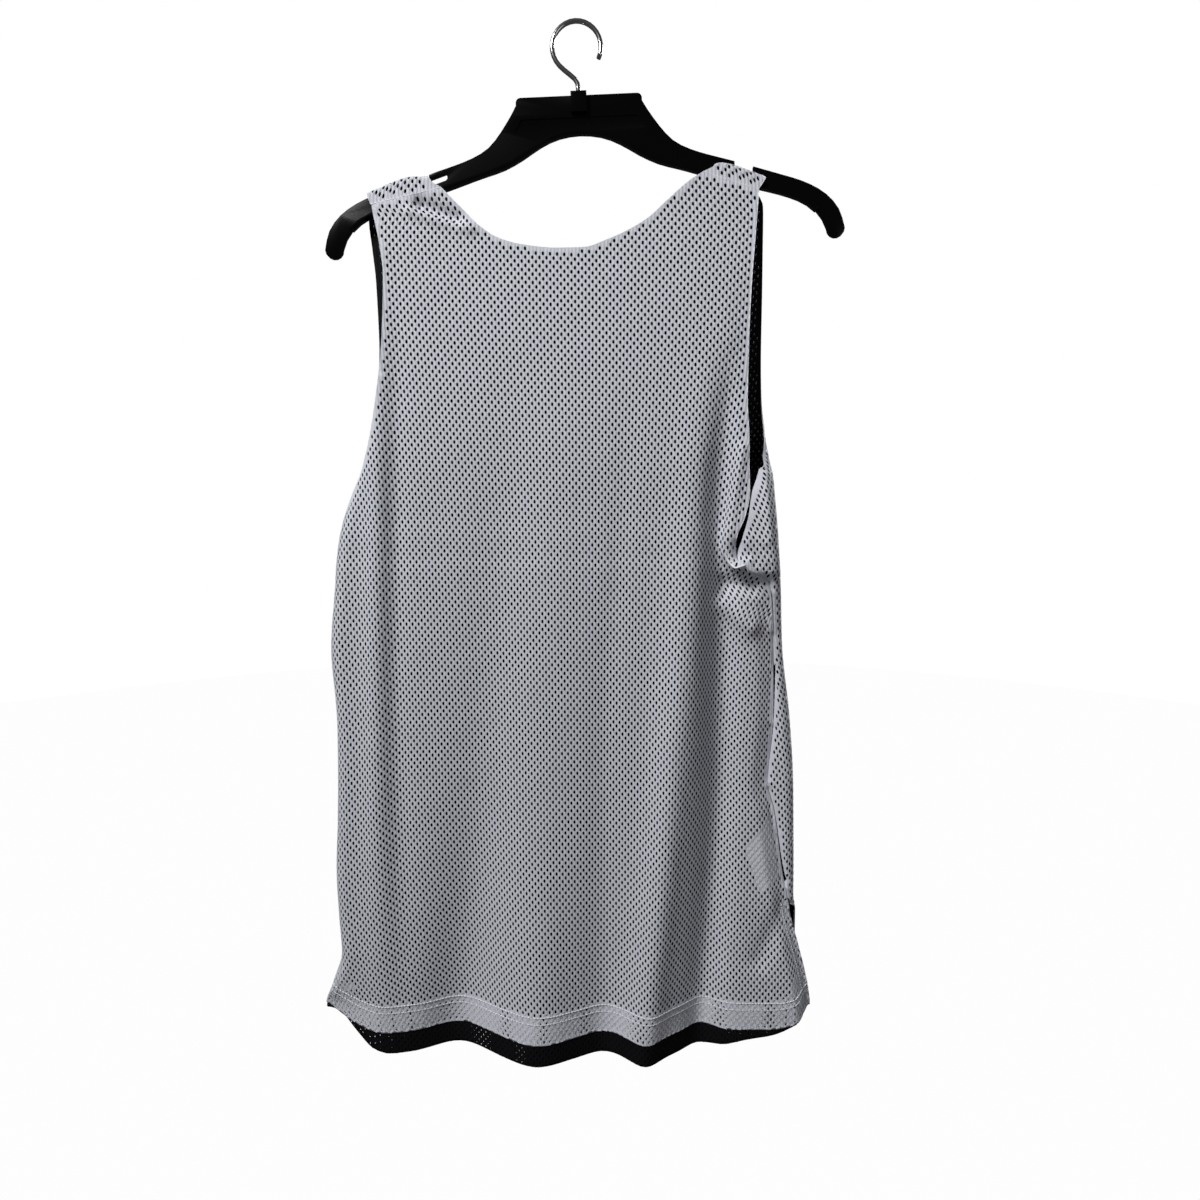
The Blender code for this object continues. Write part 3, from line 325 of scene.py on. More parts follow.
def back_point(s, drop):
    """Middle of the white back at a distance along the row from its left edge."""
    turn, depth, arc, start, _ = back_path(drop)
    angle = turn * np.clip(1.0 - s / np.maximum(arc, TINY), 0.0, 1.0)
    x = start + np.maximum(s - arc, 0.0) - CAP_WIDTH * np.sin(angle)
    past_valley = ease((x - SIDE_VALLEY_X(drop) + VALLEY_LEAD) / VALLEY_SPAN)
    flat = BACK["flat_y"](drop) * (1.0 - past_valley) + BACK["side_y"](drop) * past_valley
    y = flat + depth * (1.0 - np.cos(angle))
    to_edge = BACK["right"](drop) - x
    closed = (ease((drop - LEFT_CLOSED[0]) / CLOSED_EASE)
              * ease((LEFT_CLOSED[1] - drop) / CLOSED_EASE))
    height = fold_height(BACK_FOLDS, x, drop) + crease_height(BACK_CREASES, x, drop)
    height = height * (1.0 - ease(angle / (math.pi / 2)) * closed)
    at_edge = 1.0 - ease(to_edge / EDGE_BEND)
    y = (y - height * np.cos(angle)) * (1.0 - at_edge) + BACK["edge_y"](drop) * at_edge
    y = y + VENT_DIP(drop) * np.exp(-((x - LEFT_VENT_X) / LEFT_VENT_WIDTH) ** 2)
    x = x - height * np.sin(angle) * (1.0 - at_edge)
    return np.stack([x, y, -drop], -1)


# ---- front panel ----
def front_path(drop):
    """Both turns, the ends of the straight stretch, both arcs, and the near strip.

    The last two values are the half axes of the right turn, in x and in y.
    """
    turn_left = FRONT["left_turn"](drop) * math.pi / 2
    depth = FRONT["flat_y"](drop) - SEAM_GAP / 2
    arc_left = turn_left * (CAP_WIDTH + depth) / 2
    start = FRONT["left"](drop) + CAP_WIDTH * np.sin(turn_left)
    right = FRONT["right"](drop)
    turn_right = FRONT["right_turn"](drop) * math.pi
    half_depth = (FRONT["flat_y"](drop) - FRONT["near_y"](drop)) / 2
    edge = FRONT["edge"](drop)
    full = ease((FRONT["right_turn"](drop) - TURN_FULL) / (1.0 - TURN_FULL))
    width = TURN_WIDTH * (1.0 - full) + np.minimum(TURN_WIDTH, right - edge) * full
    end = right - width * np.where(turn_right > math.pi / 2, 1.0, np.sin(turn_right))
    arc_right = turn_right * (width + half_depth) / 2
    strip = np.maximum(end - edge, 0.0) * full
    return turn_left, turn_right, start, end, arc_left, arc_right, strip, width, half_depth


def front_length(drop):
    _, _, start, end, arc_left, arc_right, strip, _, _ = front_path(drop)
    return arc_left + (end - start) + arc_right + strip


def front_s(x, drop):
    """Distance along a level of the front to a place past its left turn."""
    _, _, start, _, arc_left, _, _, _, _ = front_path(drop)
    return arc_left + x - start


def front_point(s, drop):
    """Middle of the white front at a distance along the row from its left edge."""
    (turn_left, turn_right, start, end, arc_left, arc_right, strip, width,
     half_depth) = front_path(drop)
    flat = FRONT["flat_y"](drop)
    depth = flat - SEAM_GAP / 2
    left_angle = turn_left * np.clip(1.0 - s / np.maximum(arc_left, TINY), 0.0, 1.0)
    along = np.clip(s - arc_left, 0.0, end - start)
    past = s - arc_left - (end - start)
    right_angle = turn_right * np.clip(past / np.maximum(arc_right, TINY), 0.0, 1.0)
    strip_part = np.clip(past - arc_right, 0.0, strip)
    x = (start + along - CAP_WIDTH * np.sin(left_angle) + width * np.sin(right_angle)
         - strip_part)
    y = flat - depth * (1.0 - np.cos(left_angle)) - half_depth * (1.0 - np.cos(right_angle))
    share = strip_part / np.maximum(strip, TINY)
    y = y + (FRONT["edge_y"](drop) - FRONT["near_y"](drop)) * share * (strip > STRIP_LEAST)
    inside = ease(along / FOLD_MARGIN) * ease((end - start - along) / FOLD_MARGIN)
    y = y + fold_height(FRONT_FOLDS, x, drop) * inside
    x, _ = notch_shift(x, fold_end(x) - drop)
    return np.stack([x, y, -drop], -1)


def notch_shift(x, above):
    """Gather the right strap towards the notch; above is the distance past the fold."""
    over = above - FOLD_WHOLE / 2
    outside = ease((x - NOTCH_CENTRE_X + NOTCH_SPAN / 2) / NOTCH_SPAN)
    front_reach = FRONT_REACH[0] + (FRONT_REACH[1] - FRONT_REACH[0]) * outside
    reach = np.where(over > 0.0, BACK_REACH, front_reach)
    gather = 1.0 - ease((np.abs(over) - GATHER_FLAT) / reach)
    gather = gather * ease((x - GATHER_START) / NOTCH_SPAN)
    width = 1.0 - (1.0 - NOTCH_SQUEEZE) * gather
    return NOTCH_CENTRE_X + (x - NOTCH_CENTRE_X) * width, NOTCH_SINK * gather


def strap_point(x, above, offset):
    """Point on the fold over the hanger; above is the path length past the front."""
    x, sink = notch_shift(x, above)
    radius = FOLD_RADIUS + offset
    base = -fold_end(x) - sink
    first = np.clip(above / FOLD_QUARTER, 0.0, 1.0) * math.pi / 2
    middle = np.clip(above - FOLD_QUARTER, 0.0, FOLD_FLAT)
    second = np.clip((above - FOLD_QUARTER - FOLD_FLAT) / FOLD_QUARTER, 0.0, 1.0) * math.pi / 2
    down = np.maximum(above - FOLD_WHOLE, 0.0)
    y = (FOLD_HALF_DEPTH - FOLD_RADIUS) + radius * np.cos(first) - middle - radius * np.sin(second)
    z = base + radius * np.sin(first) * np.cos(second) - down
    return np.stack([x, y, z], -1)


def outward(point, s, drop, side=1.0):
    """Unit normals of a panel that face out of the jersey; the front needs side -1."""
    step = 0.4
    across = point(s + step, drop) - point(s - step, drop)
    down = point(s, drop + step) - point(s, drop - step)
    return unit(np.cross(down, across) * side)


def cut_line(points, count):
    """Points evenly spread along a smooth cut edge."""
    points = np.asarray(points, float)
    length = run_along(points)
    at = np.linspace(0.0, length[-1], count + 1)
    return np.stack([smooth_curve(length, points[:, k])(at) for k in range(2)], -1)


# ---- knit ----
HOLE_ACROSS = 5.58  # between holes in a row
ROW_STEP = 3.42  # from one row of holes to the next, which is staggered
CELL_TIP = 2.86  # half height of a hole's cell
HOLE_HALF_WIDTH = 0.95
HOLE_HALF_HEIGHT = 1.85
HOLE_SHOULDER = 0.85  # half height of the hole's widest part
BLACK_SHIFT = (HOLE_ACROSS / 2, -0.5)  # the black knit's holes are this far aside and up
BLACK_HOLE = 0.62  # size of the black knit's holes as a share of the white ones
LOOP_WIDTH = 0.69  # of the knit's loops
LOOP_HEIGHT = 0.84
DIMPLE = 0.45  # how deep the cloth dips at the middle of a hole
DIMPLE_ACROSS = 1.5  # the cloth is level again this far aside
DIMPLE_ALONG = 2.6  # and this far up and down
CENTRE_X = 8.0  # the column of cloth that hangs straight down
PLAIN_CUT = 1.1  # open holes stay this far from the neck and armholes
PLAIN_SEAM = 1.0  # and this far from a seam
PLAIN_FOLD = 1.5  # and this far from a folded edge
PLAIN_INNER = 0.3  # and this far from a cut edge that is turned in
TURN_DEPTH = 0.5  # a turned-in edge lies this far behind the panel
TURN_EASE = 1.2  # how soon it gets there
SLIP_ACROSS = 0.42  # the holes of the white hem's turned-in cloth stray this far aside
SLIP_WAVE = 15.0  # in waves of this length over 2 pi
SLIP_DOWN = ROW_STEP * 0.4  # and this far up or down
BLACK_SLIP = 1.375  # those of the black hem lie this far aside
SLIP_EASE = 4.0  # and both come to that over this distance from the fold
HEM_BAND = 27.0  # height of the cloth turned in at the hem
VENT_TURN = 9.0  # width of the turned-in edges of the vents
VENT_EASE = 3.0  # how soon they are that wide
LEFT_SEAM = (430.0, 797.0)  # drops between which the side seams are closed
RIGHT_SEAM = (428.0, 753.0)
EDGE_RADIUS = 0.65  # of the rolled neck and armhole edges
SEAM_CORD = (-0.2, 0.36)  # offset and radius of the seam ridges
FOOT_CORD = (0.4, 0.95)  # and of the rolled edge at the foot of the right armhole
HEM_STITCHES = ((26.0, 0.44), (19.6, 0.31))  # height and thread radius of each line
VENT_INSET = 1.5  # from the vents' stitches to the turned-in cut edge
LABEL_CORNERS = ((152, 700), (176, 668), (186.5, 731), (165, 741))  # x and drop
LABEL_GRID = (24, 16)  # points down and across
LABEL_OFFSET = -0.8  # from the middle of the white layer
SHARP_ANGLE = math.radians(35.0)  # edges of the hanger that are rounded off
BEND_SPARE = 4.0  # the knit is finer this far past the bend over the hanger
LEVEL_TOP = 150.0  # above this drop, cloth coordinates run straight up
LEVEL_FOOT = 900.0  # the lowest level of both panels
MAP_DROPS = (60.0, 920.0)  # the tables of cloth coordinates run between these drops
MAP_DROP = 4.0  # step of the drop in them
MAP_U = 2.0  # and of u
MAP_REACH = 340.0  # the largest u in them
MAP_SPARE = 40.0  # they go this far past the edges of a panel
OUTLINE_STEP = 2.0  # between points of a side edge
HEM_POINTS = 260  # along the lower edge

# How the knit runs: holes spread wider or closer across, a row for each drop.
# drop, spread
GRAIN_SPREAD = (
    (90, 1.09), (182, 1.06), (250, 1.04), (336, 1), (422, 0.97), (594, 0.96), (700, 0.97),
    (900, 0.985),
)
# Slope of the rows of holes in degrees, down to the right, a row for each u.
# u, upper slope, lower slope
GRAIN_SLOPE = (
    (-340, -4, -14), (-190, -3.5, -14), (-144, 1.6, 0), (-92, 1.7, 4.5), (-40, 2.2, 5.5),
    (12, 4.2, 4), (64, 4, 2), (100, 6.5, 1), (134, 8, 4), (340, 6, 4),
)
GRAIN_UPPER = 420.0  # the upper slopes hold down to this drop
GRAIN_LOWER = 680.0  # and the lower ones from here
GRAIN_ROUNDS = 6  # of the search for a place in the knit

# Small creases round the right armhole and along the right side seam, of both panels,
# with the columns of BACK_CREASES.
SIDE_CREASES = (
    ("near_lip", 142, 342, 129, 428, 3.0, 4.2),
    ("rim_left", 130, 433, 137, 442, 2.6, 3.2),
    ("rim_right", 141, 443, 150, 438, 2.8, 3.2),
    ("far_lip", 160, 358, 165, 420, 1.8, 3.5),
    ("pocket", 139, 424, 139, 435, -4.0, 3.4),
    ("lower_ray", 147, 421, 163, 439, 1.5, 2.6),
    ("upper_ray", 148, 415, 163, 425, 1.0, 2.4),
    ("seam_groove_top", 175, 505, 176, 580, -1.8, 2.8),
    ("seam_groove_middle", 176, 588, 173, 638, -2.0, 2.8),
    ("seam_groove_low", 174, 647, 190, 736, -2.4, 2.8),
)

# Rolled edge round the foot of the right armhole, as x and drop.
ARMHOLE_FOOT = ((130.3, 431), (131.8, 436.5), (135, 441), (139.5, 443.4), (145, 442.8))


def back_place(s, drop, offset):
    """Point of the back, moved out from the middle of the white layer."""
    s = np.clip(s, 0.0, back_length(drop))
    point = back_point(s, drop)
    offset = offset + crease_height(SIDE_CREASES, point[..., 0], drop)
    return point + outward(back_point, s, drop) * offset[..., None]


def front_place(s, drop, offset):
    """Point of the front; above the fold it runs over the hanger to the back."""
    x = s + FRONT["left"](np.maximum(drop, STRAP_LEVEL))
    fold = fold_end(x)
    low = np.maximum(drop, fold)
    along = np.where(drop < STRAP_LEVEL, x - FRONT["left"](low), s)
    whole = front_length(low)
    along = np.clip(along, 0.0, whole)
    point = front_point(along, low)
    strip = front_path(low)[6]
    past_turn = ease((along + TURN_FADE - whole + strip) / TURN_FADE)
    fine = crease_height(SIDE_CREASES, point[..., 0], low) * past_turn
    point = point + outward(front_point, along, low, -1.0) * (offset + fine)[..., None]
    over = strap_point(x, np.maximum(fold - drop, 0.0), offset)
    return np.where((fold - drop > 0.0)[..., None], over, point)


# ---- cut edges ----
def spread(points, step=1.2):
    """More points along a line, no further apart than step."""
    rows = []
    for a, b in zip(points[:-1], points[1:]):
        count = max(1, math.ceil(math.dist(a, b) / step))
        rows += [[a[i] + (b[i] - a[i]) * k / count for i in (0, 1)] for k in range(count)]
    return np.array(rows + [list(points[-1])])


def back_edges():
    """Cut edges of the back above the seams, as s and drop, and its shoulders."""
    def place(points):
        return spread([(x - float(BACK["left"](drop)), drop) for x, drop in points])

    left, right = [place([row[:2], row[2:]]) for row in BACK_SHOULDERS]
    edges = {"left_shoulder": left, "neck": place(cut_line(BACK_NECK, count=120)),
             "right_shoulder": right}
    for side, name, start in ((0, "left_arm", left[0, 1]), (1, "right_arm", right[-1, 1])):
        edges[name] = np.array([[side * float(back_length(start)), start]])
    return edges


def seam_level(side, x):
    """Level at which a front strap, unrolled over the fold, meets the back's shoulder."""
    x0, d0, x1, d1 = BACK_SHOULDERS[side]
    drop = d0 + (d1 - d0) * (x - x0) / (x1 - x0)
    return 2.0 * float(fold_end(x)) - FOLD_WHOLE - drop


def front_edges():
    """Cut edges of the front above the seams, with its straps run over the fold."""
    left = float(FRONT["left"](STRAP_LEVEL))

    def strap_edge(side, first):
        """One edge of a strap, from the back's seam to the join."""
        seam, fold, join = STRAPS[side][first:first + 3]
        return [(seam - left, seam_level(side, seam)),
                (fold - left, float(fold_end(fold)) - FOLD_WHOLE),
                (join - left, float(fold_end(join)) + STRAP_JOIN)]

    neck = [(x - left, drop) for x, drop in cut_line(FRONT_NECK, count=160)]
    edges = {"neck": spread(strap_edge(0, 3) + neck[1:-1] + strap_edge(1, 3)[::-1])}
    for side, name in enumerate(("left", "right")):
        x = np.linspace(*BACK_SHOULDERS[side][::2], 40)
        edges[name + "_shoulder"] = spread([(a - left, seam_level(side, a)) for a in x])
        edges[name + "_arm"] = spread(strap_edge(side, 0))
    return edges


# ---- panels as flat cloth ----
class Panel:
    """A panel of the white shell, layer 0, or of the black one, layer 1, inside it."""

    def __init__(self, name, node, layer, hem, front):
        self.name = name
        self.node = node
        self.layer = layer
        self.hem = hem
        self.front = front
        self.place = front_place if front else back_place
        self.length = front_length if front else back_length
        self.along = front_s if front else back_s
        self.offset = -layer * LAYER_STEP
        self.turn = -TURN_DEPTH if layer == 0 else TURN_DEPTH
        self.skew = -1.0 if front else 1.0
        self.make_map()
        self.make_outline()

    def make_map(self):
        """Table of s for steps of u and drop."""
        self.drops = np.arange(*MAP_DROPS, MAP_DROP)
        self.us = np.arange(-MAP_REACH, MAP_REACH + 1.0, MAP_U)
        self.table = np.zeros((len(self.drops), len(self.us)))
        for k, drop in enumerate(self.drops):
            level = max(drop, LEVEL_TOP)
            whole = float(self.length(level))
            s = np.arange(-MAP_SPARE, whole + MAP_SPARE, 1.0)
            points = self.place(np.clip(s, 0.0, whole), np.full(s.shape, level), 0.0)
            step = np.linalg.norm(np.diff(points[:, :2], axis=0), axis=1)
            straight = (s[:-1] < 0.0) | (s[1:] > whole) | (level <= LEVEL_TOP)
            run = np.concatenate([[0.0], np.cumsum(np.where(straight, 1.0, step))])
            run = run - np.interp(float(self.along(CENTRE_X, level)), s, run)
            self.table[k] = np.interp(self.us, run, s)

    def s_of(self, u, drop):
        """Distances along the levels of places in cloth coordinates."""
        i = np.clip((drop - self.drops[0]) / MAP_DROP, 0.0, len(self.drops) - 1.001)
        j = np.clip((u - self.us[0]) / MAP_U, 0.0, len(self.us) - 1.001)
        i0, j0 = i.astype(int), j.astype(int)
        a, b = i - i0, j - j0
        table = self.table
        return ((table[i0, j0] * (1 - b) + table[i0, j0 + 1] * b) * (1 - a)
                + (table[i0 + 1, j0] * (1 - b) + table[i0 + 1, j0 + 1] * b) * a)

    def u_of(self, path):
        """Cloth coordinates of a path given as s and drop."""
        found = np.zeros(len(path))
        for k, (s, drop) in enumerate(path):
            i = min(max((drop - self.drops[0]) / MAP_DROP, 0.0), len(self.drops) - 1.001)
            row = self.table[int(i)] * (1 - i % 1) + self.table[int(i) + 1] * (i % 1)
            found[k] = np.interp(s, row, self.us)
        return np.stack([found, path[:, 1]], -1)

    def foot(self, s):
        """Drop of the hem at a distance along the row."""
        return self.hem(self.place(s, np.full(s.shape, WHITE_LEVEL), 0.0)[:, 0])

    def make_outline(self):
        """Cut edge round the flat panel, with how far open holes stay away from it."""
        edges = front_edges() if self.front else back_edges()
        self.edges = edges
        share = np.linspace(0.0, 1.0, HEM_POINTS)
        hem_drop = self.foot(share * self.length(WHITE_LEVEL)) + HEM_BAND
        hem = np.stack([share * self.length(hem_drop) + (2.0 * share - 1.0) * VENT_TURN,
                        hem_drop], -1)
        edges["hem"] = np.stack([share * self.length(hem_drop - HEM_BAND),
                                 hem_drop - HEM_BAND], -1)
        sides = []
        for side, (name, seam) in enumerate((("left", LEFT_SEAM), ("right", RIGHT_SEAM))):
            arm = edges[name + "_arm"]
            first = math.ceil(arm[-1, 1] / OUTLINE_STEP) * OUTLINE_STEP + OUTLINE_STEP
            drops = np.arange(first, hem_drop[-side], OUTLINE_STEP)
            path = np.stack([side * self.length(drops), drops], -1)
            shut = path[(drops >= seam[0]) & (drops <= seam[1])]
            vent = path[drops > seam[1]]
            edges[name + "_arm"] = np.concatenate([arm, path[drops < seam[0]]])
            edges[name + "_seam"] = shut
            edges[name + "_vent"] = vent
            turned = VENT_TURN * ease((vent[:, 1] - seam[1]) / VENT_EASE) * (2 * side - 1)
            inner = np.stack([vent[:, 0] + turned, vent[:, 1]], -1)
            sides.append([(edges[name + "_arm"], PLAIN_CUT), (shut, PLAIN_SEAM),
                          (inner, PLAIN_INNER)])
        left, right = sides
        ring = [(edges["left_shoulder"], PLAIN_SEAM), (edges["neck"], PLAIN_CUT),
                (edges["right_shoulder"], PLAIN_SEAM)] + right + [(hem[::-1], PLAIN_INNER)]
        ring += [(path[::-1], margin) for path, margin in left[::-1]]
        self.polygon = self.u_of(np.concatenate([path for path, _ in ring] + [ring[0][0][:1]]))
        self.margin = np.concatenate([np.full(len(path), margin) for path, margin in ring])

    def past_foot(self, flat):
        """How far points of flat cloth lie past the fold of the hem."""
        whole = self.length(np.minimum(flat[:, 1], LEVEL_FOOT))
        return flat[:, 1] - self.foot(np.clip(self.s_of(*flat.T), 0.0, whole))

    def past_vent(self, flat, side):
        """How far points of flat cloth lie past the fold of a vent's edge."""
        s = self.s_of(*flat.T)
        past = s - self.length(np.minimum(flat[:, 1], LEVEL_FOOT)) if side else -s
        return np.minimum(past, flat[:, 1] - (LEFT_SEAM, RIGHT_SEAM)[side][1])

    def fold_lines(self):
        """Functions that are zero along the folds of the hem and of both vents."""
        return (self.past_foot, lambda flat: self.past_vent(flat, 0),
                lambda flat: self.past_vent(flat, 1))

    def over_hanger(self, flat):
        """Whether points of the front's flat cloth lie on the bend over the hanger."""
        x = self.s_of(*flat.T) + FRONT["left"](STRAP_LEVEL)
        above = fold_end(x) - flat[:, 1]
        return (above > -BEND_SPARE) & (above < FOLD_WHOLE + BEND_SPARE)

    def slip(self, u, foot):
        """How the cloth turned in at the hem is shifted, along and down."""
        if self.layer == 1:
            return BLACK_SLIP, 0.0
        row = grain_of(np.stack([u, foot], -1), self.skew)[:, 1] / ROW_STEP
        return SLIP_ACROSS * np.sin(u / SLIP_WAVE), SLIP_DOWN * np.sin(2.0 * math.pi * row)

    def settle(self, flat, extra=0.0):
        """Points of flat cloth as it hangs, with its hem and vent edges turned in."""
        past = np.maximum(self.past_foot(flat), 0.0)
        level = flat[:, 1] - 2.0 * past
        along, down = self.slip(flat[:, 0], flat[:, 1] - past)
        settled = ease(past / SLIP_EASE)
        s = self.s_of(flat[:, 0] + along * settled, level)
        drop = level + down * settled
        whole = self.length(np.maximum(drop, LEVEL_TOP) if self.front else drop)
        over = np.maximum(s - whole, 0.0) + np.maximum(-s, 0.0)
        s = np.where(s > whole, 2.0 * whole - s, np.abs(s))
        depth = self.turn * np.maximum(ease(past / TURN_EASE), ease(over / TURN_EASE))
        return self.place(s, drop, self.offset + depth + extra)

    def on(self, path, offset=0.0):
        """Points of a path given as s and drop, a little in front of the panel."""
        return self.place(*path.T, self.offset + offset)


def inside_polygon(polygon, points):
    """Even-odd test of many points, a level at a time."""
    a, b = polygon[:-1], polygon[1:]
    levels, order = np.unique(np.round(points[:, 1], 4), return_inverse=True)
    inside = np.zeros(len(points), bool)
    by_level = np.argsort(order, kind="stable")
    starts = np.searchsorted(order[by_level], np.arange(len(levels) + 1))
    for k, level in enumerate(levels):
        members = by_level[starts[k]:starts[k + 1]]
        hit = (a[:, 1] > level) != (b[:, 1] > level)
        t = (level - a[hit, 1]) / (b[hit, 1] - a[hit, 1])
        cross = np.sort(a[hit, 0] + t * (b[hit, 0] - a[hit, 0]))
        inside[members] = np.searchsorted(cross, points[members, 0]) % 2 == 1
    return inside


def nearest_edge(polygon, margin, points):
    """Nearest points on a closed line, and how far outside its margin they are."""
    a, run = polygon[:-1], np.diff(polygon, axis=0)
    square = np.maximum((run ** 2).sum(1), TINY)
    best, spare = [], []
    for p in np.array_split(points, len(points) // 400 + 1):
        t = np.clip(((p[:, None] - a) * run).sum(2) / square, 0.0, 1.0)
        q = a + t[..., None] * run
        away = np.linalg.norm(p[:, None] - q, axis=2)
        best.append(q[np.arange(len(p)), away.argmin(1)])
        spare.append((away - margin).min(1))
    return np.concatenate(best), np.concatenate(spare)


# ---- run of the knit ----
def make_sinks():
    """How far the rows of holes have sunk at each u, for the upper and the lower slopes."""
    slopes = np.array(GRAIN_SLOPE, float)
    u = np.arange(-MAP_REACH, MAP_REACH + 1.0, MAP_U)
    sinks = []
    for column in (1, 2):
        slope = np.tan(np.radians(np.interp(u, slopes[:, 0], slopes[:, column])))
        sink = np.cumsum(slope) * MAP_U
        sinks.append(sink - np.interp(0.0, u, sink))
    return u, *sinks


SINKS = make_sinks()


def run_of(grain, skew):
    """Cloth coordinates of places in the knit, given by column and row in millimetres."""
    u, upper, lower = SINKS
    share = ease((grain[:, 1] - GRAIN_UPPER) / (GRAIN_LOWER - GRAIN_UPPER))
    across = skew * grain[:, 0]
    sink = np.interp(across, u, upper) * (1.0 - share) + np.interp(across, u, lower) * share
    wide = np.interp(grain[:, 1], *zip(*GRAIN_SPREAD))
    return np.stack([grain[:, 0] * wide, grain[:, 1] + sink], -1)


def grain_of(flat, skew):
    """Places in the knit of points in cloth coordinates."""
    grain = flat.copy()
    for _ in range(GRAIN_ROUNDS):
        grain = grain + flat - run_of(grain, skew)
    return grain


def dimple(grain, shift):
    """How deep the cloth dips round each hole."""
    row = np.round((grain[:, 1] - shift[1]) / ROW_STEP)
    best = np.full(len(grain), np.inf)
    for step in (-1.0, 0.0, 1.0):
        level = row + step
        odd = np.mod(level, 2.0) * 0.5
        column = np.round((grain[:, 0] - shift[0]) / HOLE_ACROSS - odd) + odd
        across = (grain[:, 0] - shift[0] - column * HOLE_ACROSS) / DIMPLE_ACROSS
        along = (grain[:, 1] - shift[1] - level * ROW_STEP) / DIMPLE_ALONG
        best = np.minimum(best, across ** 2 + along ** 2)
    return DIMPLE * np.maximum(1.0 - best, 0.0)


# ---- mesh knit ----
def lattice(panel, shift):
    """Vertices and faces of a panel's knit, in cloth coordinates.

    Each hole has a six-cornered cell: six quads round an open hole, or one face.
    """
    polygon, margin, skew = panel.polygon, panel.margin, panel.skew
    reach = grain_of(polygon, skew) - shift
    low, high = reach.min(0), reach.max(0)
    columns, rows = [np.arange(math.floor(low[k] / step) - 2, math.ceil(high[k] / step) + 3)
                     for k, step in enumerate((HOLE_ACROSS, ROW_STEP))]
    odd = (rows % 2)[:, None]
    centre = np.stack(np.broadcast_arrays((columns + 0.5 * odd) * HOLE_ACROSS,
                                          rows[:, None] * ROW_STEP), -1) + shift
    corner = np.stack([centre - (0.0, CELL_TIP), centre + (0.0, CELL_TIP)], 2).reshape(-1, 2)
    width = centre.shape[1]

    def tip(i, j, low_end):
        return (i * width + j) * 2 + low_end

    i, j = np.mgrid[1:len(rows) - 1, 1:width - 1]
    right = j + odd[1:-1]
    ring = np.stack([tip(i, j, 0), tip(i - 1, right, 1), tip(i + 1, right, 0), tip(i, j, 1),
                     tip(i + 1, right - 1, 0), tip(i - 1, right - 1, 1)], -1).reshape(-1, 6)
    centre = centre[1:-1, 1:-1].reshape(-1, 2)
    corner = run_of(corner, skew)

    inside = inside_polygon(polygon, corner)
    keep = inside[ring].any(1)
    ring, centre = ring[keep], centre[keep]
    outer = np.unique(ring[~inside[ring]])
    corner[outer], _ = nearest_edge(polygon, margin, corner[outer])
    place = run_of(centre, skew)
    _, spare = nearest_edge(polygon, margin, place)
    whole = inside[ring].all(1) & (spare > 0.0)
    for level in panel.fold_lines():
        whole &= np.abs(level(place)) > PLAIN_FOLD

    hole = np.array([(0.0, -HOLE_HALF_HEIGHT), (HOLE_HALF_WIDTH, -HOLE_SHOULDER),
                     (HOLE_HALF_WIDTH, HOLE_SHOULDER), (0.0, HOLE_HALF_HEIGHT),
                     (-HOLE_HALF_WIDTH, HOLE_SHOULDER), (-HOLE_HALF_WIDTH, -HOLE_SHOULDER)])
    hole = hole * (BLACK_HOLE if panel.layer == 1 else 1.0)
    rims = run_of((centre[whole][:, None] + hole).reshape(-1, 2), skew)
    points = np.concatenate([corner, rims])
    inner = len(corner) + np.arange(whole.sum() * 6).reshape(-1, 6)
    outer = ring[whole]
    quads = np.stack([outer, np.roll(outer, -1, 1), np.roll(inner, -1, 1), inner], -1)
    closed = ring[~whole]
    used, number = np.unique(np.concatenate([quads.ravel(), closed.ravel()]),
                             return_inverse=True)
    return (points[used], number[:quads.size].reshape(-1, 4),
            number[quads.size:].reshape(-1, 6))


def link(name, mesh, material):
    """A new object of a mesh, in the scene."""
    mesh.materials.append(material)
    obj = bpy.data.objects.new(name, mesh)
    bpy.context.scene.collection.objects.link(obj)
    return obj


def flat_points(bm):
    """Cloth coordinates of the vertices of flat cloth."""
    return np.array([vert.co.xy for vert in bm.verts])


def cut_along(bm, level):
    """Cut flat cloth along the line where level is zero."""
    for vert, height in zip(bm.verts, level(flat_points(bm)).tolist()):
        vert.co.z = height
    faces = [face for face in bm.faces
             if min(vert.co.z for vert in face.verts) < 0.0 < max(vert.co.z for vert in face.verts)]
    edges = {edge for face in faces for edge in face.edges}
    verts = {vert for face in faces for vert in face.verts}
    bmesh.ops.bisect_plane(bm, geom=[*verts, *edges, *faces], dist=0.05,
                           plane_co=(0.0, 0.0, 0.0), plane_no=(0.0, 0.0, 1.0))
    for vert in bm.verts:
        vert.co.z = 0.0


def refine(bm, inside):
    """Split the faces of a region in four, for its tighter bend."""
    region = inside(flat_points(bm))
    bm.verts.index_update()
    faces = [face for face in bm.faces if all(region[vert.index] for vert in face.verts)]
    wide = [face for face in faces if len(face.verts) > 4]
    narrow = [face for face in faces if len(face.verts) <= 4]
    faces = narrow + bmesh.ops.poke(bm, faces=wide)["faces"]
    edges = list({edge for face in faces for edge in face.edges})
    bmesh.ops.subdivide_edges(bm, edges=edges, cuts=1, use_grid_fill=True)


